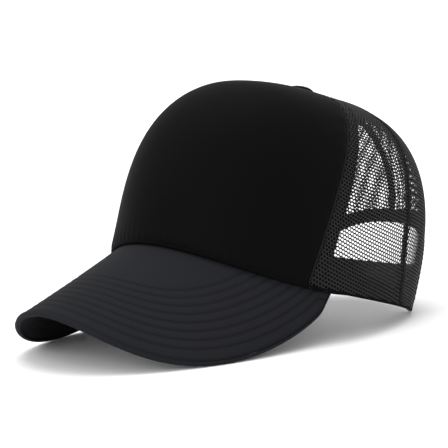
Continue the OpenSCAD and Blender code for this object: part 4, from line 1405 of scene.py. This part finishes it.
@dataclass
class Visor:
    """The bent visor: two cloths, the roll on their edge and the rows of stitches."""

    crown: CrownForm
    looks: Wardrobe
    sewing_tree: bpy.types.NodeTree
    columns: int = 190
    rows: int = 150
    stitch_rows: int = 8
    first_row: float = 7.0 * MM
    row_pitch: float = 5.2 * MM
    groove: float = 0.36 * MM
    groove_w: float = 0.85 * MM
    edge_dip: float = 0.3 * MM
    roll_proud: float = 0.35 * MM

    def __post_init__(self) -> None:
        """Makes the visor's form and the curve of its front edge."""
        self.form = VisorForm(self.crown)
        u = self.form.columns(700)
        self.edge = self.form.front(u)

    def _row_at(self, index: int) -> float:
        """Distance of a stitch row from the front edge."""
        return self.first_row + self.row_pitch * index

    def _edge_distance(self, points: Array) -> Array:
        """Distance of points in the rim's frame from the front edge."""
        flat = points.reshape(-1, 3)
        best = np.full(len(flat), np.inf)
        for start in range(0, len(self.edge), 100):
            part = self.edge[start:start + 100]
            best = np.minimum(best, np.linalg.norm(flat[:, None] - part[None], axis=2).min(1))
        return best.reshape(points.shape[:-1])

    def _dent(self, away: Array) -> Array:
        """Depth of the cloth under its plain form, from the stitch rows that hold it down."""
        dent = sum(self.groove * bell(away - self._row_at(k), self.groove_w) for k in range(self.stitch_rows))
        return dent + self.edge_dip * bell(away, 1.6 * MM)

    def _cloth(self, name: str, node: str, top: bool) -> None:
        """Makes the cloth over or under the board."""
        form = self.form
        u = form.columns(self.columns)[None, :]
        v = 1 - np.linspace(0, 1, self.rows)[:, None]
        u, v = np.broadcast_arrays(u, v)
        dent = self._dent(self._edge_distance(form.local(u, v)))
        # Painted shade: the cloth's colour is darkened in the stitch-row grooves and the dip along the front
        # edge.
        crease_shade = np.clip(dent / self.groove, 0, 1)
        if top:
            outer, inner = form.at(u, v, dent), form.at(u, v, np.full_like(u, form.cloth_t))
            piece = make_shell(name, outer, inner, self.looks.visor, crease_shade)
        else:
            deep = form.cloth_t + form.board_t
            outer, inner = form.at(u, v, np.full_like(u, deep)), form.at(u, v, form.thick - dent * 0.8)
            piece = make_shell(name, outer, inner, self.looks.visor_under, crease_shade)
        settle(piece, Body.CAP, [node])

    def _rim_path(self) -> tuple[Array, Array]:
        """Values of u and v along the free edge: up one short end, round the front, down the other."""
        form = self.form
        u, v = form.columns(260), np.ones(260)
        end, away = np.full(12, form.u_end), np.linspace(0.0, 1.0, 13)[:-1]
        u, v = np.concatenate([-end, u, end]), np.concatenate([away, v, away[::-1]])
        line = form.local(u, v)
        even = np.linspace(0, 1, 340)
        share = arc_lengths(line) / arc_lengths(line)[-1]
        u, v = np.interp(even, share, u), np.interp(even, share, v)
        for _ in range(4):
            u[1:-1], v[1:-1] = (u[:-2] + 2 * u[1:-1] + u[2:]) / 4, (v[:-2] + 2 * v[1:-1] + v[2:]) / 4
        return u, v

    def _roll(self) -> None:
        """Sweeps the cloth roll round the front edge."""
        form = self.form
        u, v = self._rim_path()
        up = form.up_local(u, v)
        line = form.local(u, v)
        along = unit(np.gradient(line, axis=0))
        out = unit(np.cross(along, up))
        middle = line - up * form.thick / 2 + out * 0.15 * MM
        half = form.thick / 2 + self.roll_proud
        angles = np.radians(np.linspace(90, -90, 17))
        swell = 1 - 0.10 * bell(np.degrees(angles) - 62, 9.0) - 0.10 * bell(np.degrees(angles) + 62, 9.0)
        tall = half * np.sin(angles) * swell
        wide = half * 0.92 * np.cos(angles) * swell
        rings = (middle[:, None] + up[:, None] * tall[None, :, None] + out[:, None] * wide[None, :, None])
        tucked = up * half * 0.8
        rings = np.concatenate([rings, (middle - tucked)[:, None], (middle + tucked)[:, None]], 1)
        rings = self.crown.seated(rings)
        roll = make_roll("visor_edge_cloth", rings, self.looks.visor)
        settle(roll, Body.CAP, ["visor_edge_roll"])

    def _row_line(self, away: float) -> tuple[Array, Array]:
        """Where a stitch row runs: values of u and v at a distance inside the front edge."""
        form = self.form
        u = form.columns(360)
        e = 0.004
        along = unit(form.front(u + e) - form.front(u - e))
        inward = -unit(np.cross(along, form.up_local(u, np.ones_like(u))))
        target = (form.front(u) + inward * away)[:, :2]
        a, b = u.copy(), np.full_like(u, 0.9)
        for _ in range(14):
            here = form.local(a, b)[:, :2]
            du = (form.local(a + 1e-4, b)[:, :2] - here) / 1e-4
            dv = (form.local(a, b + 1e-4)[:, :2] - here) / 1e-4
            gap = target - here
            det = du[:, 0] * dv[:, 1] - du[:, 1] * dv[:, 0]
            det = np.where(np.abs(det) < 1e-9, 1e-9, det)
            step = np.clip((gap[:, 0] * dv[:, 1] - gap[:, 1] * dv[:, 0]) / det, -0.1, 0.1)
            a = np.clip(a + step, -0.985, 0.985)
            b = b + np.clip((du[:, 0] * gap[:, 1] - du[:, 1] * gap[:, 0]) / det, -0.3, 0.3)
        away_now = self._edge_distance(form.local(a, b))
        good = (b > 0.03) & (b < 1.0) & (np.abs(away_now - away) < 0.7 * MM)
        middle = len(u) // 2
        low = high = middle
        while low > 0 and good[low - 1]:
            low -= 1
        while high < len(u) - 1 and good[high + 1]:
            high += 1
        return a[low:high + 1], b[low:high + 1]

    def build(self) -> None:
        """Makes the cloths, the roll and the stitches, and dresses the board."""
        form = self.form
        self._cloth("visor_cloth_top", "visor_top_cloth", True)
        self._cloth("visor_cloth_under", "visor_under_cloth", False)
        self._roll()
        over = Sewing("stitches_visor_top", self.looks.thread, pitch=3.3 * MM, length=2.8 * MM)
        under = Sewing("stitches_visor_under", self.looks.thread, pitch=3.3 * MM, length=2.8 * MM)
        for k in range(self.stitch_rows):
            a, b = self._row_line(self._row_at(k))
            if len(a) < 4:
                continue
            up = form.up(a, b)
            over.add(form.at(a, b, np.full_like(a, self.groove * 0.9)), up)
            under.add(form.at(a, b, np.full_like(a, form.thick - self.groove * 0.7)), -up)
        settle(over.sew(self.sewing_tree), Body.CAP)
        settle(under.sew(self.sewing_tree), Body.CAP)
        dress("visor_board", self.looks.board)


def dress(node: str, material: bpy.types.Material) -> None:
    """Gives a carried-over node its finish."""
    slots = frame["nodes"][node].data.materials
    slots.clear()
    slots.append(material)
    LOG.info("%s: dressed in %s", node, material.name)


@dataclass
class SnapClosure:
    """The moulded closure: a strap with holes and a strap with pegs, and their sewn ends."""

    crown: CrownForm
    looks: Wardrobe
    sewing_tree: bpy.types.NodeTree
    low: float = 10 * MM
    tall: float = 19 * MM
    thick: float = 1.2 * MM
    gap: float = 0.3 * MM
    skin_gap: float = 0.2 * MM
    count: int = 7
    snapped: int = 5
    pitch: float = 9.5 * MM
    peg_r: float = 1.75 * MM
    peg_h: float = 2.6 * MM
    hole_r: float = 2.7 * MM
    hinge_inset: float = 1.5
    hinge_gap: float = 0.7 * MM
    tab_len: float = 13 * MM
    border_w: float = 1.3 * MM
    border_h: float = 0.14 * MM
    bevel: float = 0.22 * MM
    filling: float = 1.3 * MM
    filling_room: float = 0.7 * MM
    sewn_margin: float = 1.2 * MM

    def __post_init__(self) -> None:
        """Works out the circle that both straps follow and where they bend."""
        c = self.crown
        corner = c.shell(np.array(180 - c.arch_half_turn), 1.0, 0.0)
        rise = c.rim_back - float(corner[1])
        self.circle_r = (float(corner[0]) ** 2 + rise**2) / (2 * rise)
        self.circle_y = c.rim_back - self.circle_r
        self.hole_out = self.circle_r - c.mesh_inset - c.mesh_t - c.binding_lip - self.skin_gap
        self.peg_out = self.hole_out - self.thick - self.gap
        share = (self.low + self.tall) / c.arch_h
        turn = c.arch_half_turn * (1 - share**c.arch_square) ** (1 / c.arch_square)
        bend = math.asin(c.rim_half * math.sin(math.radians(turn)) / self.circle_r)
        self.hinge = math.degrees(bend) - self.hinge_inset
        self.step = math.degrees(self.pitch / self.hole_out)
        self.first = (self.snapped - 1) / 2
        self.free = (self.first + 1) * self.step - math.degrees((self.peg_r + 0.9 * MM) / self.peg_out)

    def _bent(self, flat: Array, out_r: float, side: Side) -> Array:
        """Bends flat points (degrees along, metres up, metres out) round the circle."""
        angle = np.radians(flat[:, 0])
        r = out_r + flat[:, 2]
        x, y = side.value * r * np.sin(angle), self.circle_y + r * np.cos(angle)
        return self.crown.seated(np.stack([x, y, self.low + flat[:, 1]], 1))

    def _outline(self, x0: float, x1: float, inset: float) -> Array:
        """Points round a strap in metres along and up, its tip round and its bend end straight."""
        r = self.tall / 2 - inset
        end, middle = x1 - inset * 0.2, x0 + self.tall / 2
        arc = np.radians(np.linspace(90, 270, 41))
        tip = np.stack([middle + r * np.cos(arc), self.tall / 2 + r * np.sin(arc)], 1)
        run = np.linspace(middle, end, 64)
        upright = np.linspace(inset, self.tall - inset, 14)
        low = np.stack([run[1:], np.full(63, inset)], 1)
        high = np.stack([run[::-1][:-1], np.full(63, self.tall - inset)], 1)
        return np.concatenate([low, np.stack([np.full(12, end), upright[1:-1]], 1), high, tip])

    def _ring(self, x: float, r: float) -> Array:
        """A circle of points round a hole's middle."""
        a = np.linspace(0, math.tau, 36, endpoint=False)
        return np.stack([x + r * np.cos(a), self.tall / 2 + r * np.sin(a)], 1)

    def _plate(self, x0: float, x1: float, holes: Sequence[float]) -> tuple[Array, list]:
        """A strap's flat plate with its raised border and hole collars.

        Args:
            x0: the tip's place along the strap.
            x1: the bend end's place.
            holes: places of the holes' middles.

        Returns:
            Points (along, up, out) and faces.
        """
        edge, high = self.bevel, self.border_h
        insets = [(0.0, -edge), (edge, 0.0), (0.5 * MM, 0.0), (0.62 * MM, high),
                  (0.5 * MM + self.border_w, high), (0.62 * MM + self.border_w, 0.0)]
        rings = [(self.hole_r, -edge), (self.hole_r + edge, high), (self.hole_r + 1.0 * MM, high),
                 (self.hole_r + 1.12 * MM, 0.0)]
        loops = [(self._outline(x0, x1, inset), out, inset == 0) for inset, out in insets]
        loops += [(self._ring(x, r), out, r == self.hole_r) for x in holes for r, out in rings]
        flat = np.concatenate([loop for loop, _, _ in loops])
        out = np.concatenate([np.full(len(loop), z) for loop, z, _ in loops])
        free = np.concatenate([np.full(len(loop), cut) for loop, _, cut in loops])
        edges, start = [], 0
        for loop, _, _ in loops:
            count = len(loop)
            edges += [(start + k, start + (k + 1) % count) for k in range(count)]
            start += count
        gx, gy = np.meshgrid(np.arange(x0, x1, self.filling), np.arange(0.0, self.tall, self.filling))
        inner = np.stack([gx.ravel(), gy.ravel()], 1)
        room = np.linalg.norm(inner[:, None] - flat[None], axis=2).min(1)
        inner = inner[(room > self.filling_room) & self._on_plate(inner, x0, x1, holes)]
        flat = np.concatenate([flat, inner])
        out = np.concatenate([out, np.zeros(len(inner))])
        free = np.concatenate([free, np.zeros(len(inner))])
        scaled = [Vector(p) for p in (flat / MM).tolist()]
        found = delaunay_2d_cdt(scaled, edges, [], 0, 1e-5)
        spots = np.array(found[0]) * MM
        source = np.array([o[0] if o else -1 for o in found[3]])
        triangles = np.array(found[2])
        centers = spots[triangles].mean(1)
        triangles = triangles[self._on_plate(centers, x0, x1, holes)]
        count = len(spots)
        cut = free[source] > 0
        top = np.column_stack([spots, out[source]])
        bottom = np.column_stack([spots, np.where(cut, -self.thick + edge, -self.thick)])
        faces = triangles.tolist() + (triangles[:, ::-1] + count).tolist()
        sides = np.concatenate([triangles[:, [0, 1]], triangles[:, [1, 2]], triangles[:, [2, 0]]])
        known = {(int(i), int(j)) for i, j in sides}
        faces += [[j, i, i + count, j + count] for i, j in known if (j, i) not in known]
        return np.concatenate([top, bottom]), faces

    def _on_plate(self, p: Array, x0: float, x1: float, holes: Sequence[float]) -> Array:
        """Whether flat points lie on a strap's plate."""
        middle, half = x0 + self.tall / 2, self.tall / 2
        inside = (p[:, 0] < x1) & (p[:, 1] > 0) & (p[:, 1] < self.tall)
        inside &= (p[:, 0] > middle) | (np.hypot(p[:, 0] - middle, p[:, 1] - half) < half)
        for x in holes:
            inside &= np.hypot(p[:, 0] - x, p[:, 1] - half) > self.hole_r * 0.995
        return inside

    def _peg(self, x: float, segments: int = 24) -> tuple[Array, list]:
        """A domed peg with a small foot, as flat points and faces."""
        profile = [(self.peg_r + 0.55 * MM, -0.3 * MM), (self.peg_r + 0.5 * MM, 0.05 * MM),
                   (self.peg_r + 0.12 * MM, 0.12 * MM), (self.peg_r, 0.3 * MM),
                   (self.peg_r, 1.35 * MM)]
        dome = self.peg_h - 1.35 * MM
        profile += [(self.peg_r * math.cos(a), 1.35 * MM + dome * math.sin(a))
                    for a in np.radians([15, 30, 45, 60, 75])]
        a = np.linspace(0, math.tau, segments, endpoint=False)
        rings = [np.stack([x + r * np.cos(a), self.tall / 2 + r * np.sin(a), np.full(segments, z)], 1)
                 for r, z in profile]
        points = np.concatenate(rings + [np.array([[x, self.tall / 2, self.peg_h]])])
        faces = []
        for k in range(len(rings) - 1):
            here, above = k * segments, (k + 1) * segments
            for s in range(segments):
                n = (s + 1) % segments
                faces.append([here + s, here + n, above + n, above + s])
        top, last = len(points) - 1, (len(rings) - 1) * segments
        faces += [[last + s, last + (s + 1) % segments, top] for s in range(segments)]
        faces.append(list(range(segments))[::-1])
        return points, faces

    def _strap(self, name: str, node: str, body: Body, out_r: float, side: Side, holes: bool) -> None:
        """Makes one free strap with its raised border, and its holes or its pegs."""
        per_degree = out_r * math.radians(1)
        spots = [(k - self.first) * self.step * per_degree for k in range(self.count)]
        points, faces = self._plate(-self.free * per_degree, self.hinge * per_degree, spots if holes else ())
        if not holes:
            for x in spots:
                peg, peg_faces = self._peg(x)
                faces += [[i + len(points) for i in f] for f in peg_faces]
                points = np.concatenate([points, peg])
        points[:, 0] /= per_degree
        strap = make_object(name, self._bent(points, out_r, side), faces, self.looks.strap)
        face_outwards(strap)
        mark_sharp(strap)
        settle(strap, body, [node])

    def _tab(self, node: str, out_r: float, side: Side, sewing: Sewing) -> None:
        """Makes a sewn end and the zigzag that holds it."""
        start = self.hinge + math.degrees(self.hinge_gap / out_r)
        end = start + math.degrees(self.tab_len / out_r)
        angles = np.linspace(start, end, 20)[None, :]
        ups = np.linspace(0, 1, 8)[:, None]
        angles, ups = np.broadcast_arrays(angles, ups)
        flat = np.stack([angles, ups * self.tall, np.zeros_like(angles)], -1)
        outer = self._bent(flat.reshape(-1, 3), out_r, side).reshape(*angles.shape, 3)
        inner = self._bent((flat - [0, 0, self.thick]).reshape(-1, 3), out_r, side).reshape(*angles.shape, 3)
        tab = make_shell(f"sewn_end_{side.word}", outer, inner, self.looks.strap)
        face_outwards(tab)
        bevel = tab.modifiers.new("soft_edges", "BEVEL")
        bevel.width, bevel.segments = 0.2 * MM, 2
        mark_sharp(tab)
        settle(tab, Body.CAP, [node])
        per_degree = out_r * math.radians(1)
        length = (end - start) * per_degree
        for margin in (0.16, 0.84):
            x = start + (end - start) * margin * np.ones(30)
            y = np.linspace(self.sewn_margin, self.tall - self.sewn_margin, 30)
            self._tack(sewing, x, y, out_r, side)
        diagonal = np.linspace(0.16, 0.84, 30)
        for flip in (False, True):
            y = 1.2 * MM + (self.tall - 2.4 * MM) * (np.linspace(1, 0, 30) if flip else np.linspace(0, 1, 30))
            self._tack(sewing, start + (end - start) * diagonal, y, out_r, side)
        LOG.info("sewn end %s: %.1f mm long", side.word, length / MM)

    def _tack(self, sewing: Sewing, angle: Array, y: Array, out_r: float, side: Side) -> None:
        """Adds a run of stitches on the inner face of a sewn end."""
        flat = np.stack([angle, y, np.full_like(y, -self.thick)], 1)
        line = self._bent(flat, out_r, side)
        far = self._bent(flat - [0, 0, MM], out_r, side)
        sewing.add(line, unit(far - line))

    def build(self) -> None:
        """Makes both straps, both sewn ends and their stitching."""
        self._strap("strap_with_holes", "snap_strap_holes", Body.HOLE_STRAP, self.hole_out, Side.LEFT, True)
        self._strap("strap_with_pegs", "snap_strap_pegs", Body.PEG_STRAP, self.peg_out, Side.RIGHT, False)
        sewing = Sewing("stitches_strap_ends", self.looks.thread, pitch=2.4 * MM, length=2.2 * MM)
        self._tab("strap_tab_left", self.hole_out, Side.LEFT, sewing)
        self._tab("strap_tab_right", self.peg_out, Side.RIGHT, sewing)
        settle(sewing.sew(self.sewing_tree), Body.CAP)


@dataclass
class Button:
    """The covered button on top, its steel shell, rivet and washer."""

    crown: CrownForm
    looks: Wardrobe
    radius: float = 8 * MM
    tall: float = 3.6 * MM
    wall: float = 0.7 * MM
    skirt: float = 1.6 * MM
    hem: float = 0.5 * MM
    folds: int = 14
    segments: int = 84

    def build(self) -> None:
        """Makes the gathered cover and dresses the steel pieces."""
        c = self.crown
        a = np.linspace(0, math.tau, self.segments, endpoint=False)
        levels = np.radians(np.linspace(0, 88, 20))

        def ring(radius: Array, height: Array) -> Array:
            """One ring of the cover's section."""
            flat = [radius * np.cos(a), radius * np.sin(a)]
            return np.stack([*flat, np.broadcast_to(height, a.shape)], 1)

        rings = [ring(self.radius - self.hem, -self.skirt)]
        for k in levels:
            gather = 1 + 0.02 * np.sin(a * self.folds) * math.cos(k) ** 2
            r = self.radius * math.cos(k) ** 0.85 * gather
            z = self.tall * math.sin(k) * (1 - 0.04 * np.cos(a * self.folds) * math.cos(k))
            rings.append(ring(r, z))
        for k in levels[::-1]:
            r = (self.radius - self.wall) * math.cos(k) ** 0.85
            z = (self.tall - self.wall) * math.sin(k)
            rings.append(ring(r, z))
        rings.append(ring(self.radius - self.wall - self.hem, -self.skirt))
        rings = np.array(rings)
        uv = rings[..., :2].reshape(-1, 2)
        points = c.seated(rings + np.array([0, c.apex_back, c.height]))
        rows, cols = rings.shape[:2]
        i, j = np.meshgrid(np.arange(rows), np.arange(cols), indexing="ij")
        p, q = (i * cols + j).ravel(), (i * cols + (j + 1) % cols).ravel()
        size = rows * cols
        quads = np.stack([p, q, (q + cols) % size, (p + cols) % size], 1)
        quads = quads[~(i.ravel() == len(levels))].tolist()
        quads.append([len(levels) * cols + k for k in range(cols)])
        quads.append([(len(levels) + 1) * cols + k for k in range(cols)][::-1])
        cover = make_object("button_cloth", points, quads, self.looks.face, uv)
        face_outwards(cover)
        settle(cover, Body.CAP, ["button_cover"])
        for node in ("button_shell", "button_rivet", "button_washer"):
            dress(node, self.looks.steel)


# ---------------------------------------------------------------- studio


@dataclass(frozen=True)
class Studio:
    """The pale floor, the soft lights and the camera."""

    azimuth: float = 44.8
    elevation: float = 6.9
    distance: float = 1.198
    aim_height: float = 0.070
    roll: float = -1.985
    lens: float = 165.5
    shift: tuple[float, float] = (-0.0147, -0.0275)
    floor_half: float = 12.0

    def _camera(self) -> None:
        """Sets the camera at the viewing angle."""
        data = bpy.data.cameras.new("camera")
        data.lens, data.sensor_width = self.lens, 36.0
        data.shift_x, data.shift_y = self.shift
        camera = bpy.data.objects.new("camera", data)
        bpy.context.scene.collection.objects.link(camera)
        a, e = math.radians(self.azimuth), math.radians(self.elevation)
        aim = Vector((0, 0, self.aim_height))
        way = Vector((math.sin(a) * math.cos(e), -math.cos(a) * math.cos(e), math.sin(e)))
        camera.location = aim + way * self.distance
        turned = way.to_track_quat("Z", "Y").to_euler().to_matrix()
        rolled = Euler((0, 0, math.radians(self.roll))).to_matrix()
        camera.rotation_euler = (turned @ rolled).to_euler()
        bpy.context.scene.camera = camera

    def _light(self, name: str, way: tuple[float, float, float], softness: float, strength: float) -> None:
        """Adds a wide soft light that comes from a direction."""
        data = bpy.data.lights.new(name, "SUN")
        data.angle, data.energy = math.radians(softness), strength
        light = bpy.data.objects.new(name, data)
        light.rotation_euler = Vector(way).to_track_quat("Z", "Y").to_euler()
        bpy.context.scene.collection.objects.link(light)

    def _floor(self) -> None:
        """Lays the plain pale floor."""
        s = self.floor_half
        material = bpy.data.materials.new("pale_floor")
        material.use_nodes = True
        shader = material.node_tree.nodes["Principled BSDF"]
        shader.inputs["Base Color"].default_value = (0.88, 0.88, 0.88, 1)
        shader.inputs["Roughness"].default_value = 0.8
        shader.inputs["Specular IOR Level"].default_value = 0.1
        corners = np.array([(-s, -s, 0), (s, -s, 0), (s, s, 0), (-s, s, 0)])
        make_object("floor", corners, [(0, 1, 2, 3)], material)

    def build(self) -> None:
        """Sets up the studio."""
        scene = bpy.context.scene
        scene.view_settings.view_transform = "Standard"
        world = bpy.data.worlds.new("studio")
        world.use_nodes = True
        world.node_tree.nodes["Background"].inputs["Color"].default_value = (1, 1, 1, 1)
        world.node_tree.nodes["Background"].inputs["Strength"].default_value = 1.0
        scene.world = world
        self._floor()
        self._light("top_softbox", (-0.15, 0.1, 1.0), 50.0, 1.6)
        self._light("left_softbox", (-0.8, -0.9, 0.9), 40.0, 0.6)
        self._light("low_fill", (0.25, -1.0, 0.42), 30.0, 1.0)
        self._camera()


def main() -> None:
    """Builds the studio and every sub-assembly of the cap."""
    Studio().build()
    crown = CrownForm()
    looks = Wardrobe.cut()
    sewing = stitch_tree()
    net = net_tree()
    FrontPanel(crown, looks).build()
    for side in Side:
        for cut in NetCut:
            NetPanel(crown, looks, cut, side, net).build()
    SeamTapes(crown, looks, sewing).build()
    Sweatband(crown, looks, sewing).build()
    RimWelt(crown, looks).build()
    BackArch(crown, looks, sewing).build()
    Visor(crown, looks, sewing).build()
    SnapClosure(crown, looks, sewing).build()
    Button(crown, looks).build()


if __name__ == "__main__":
    main()
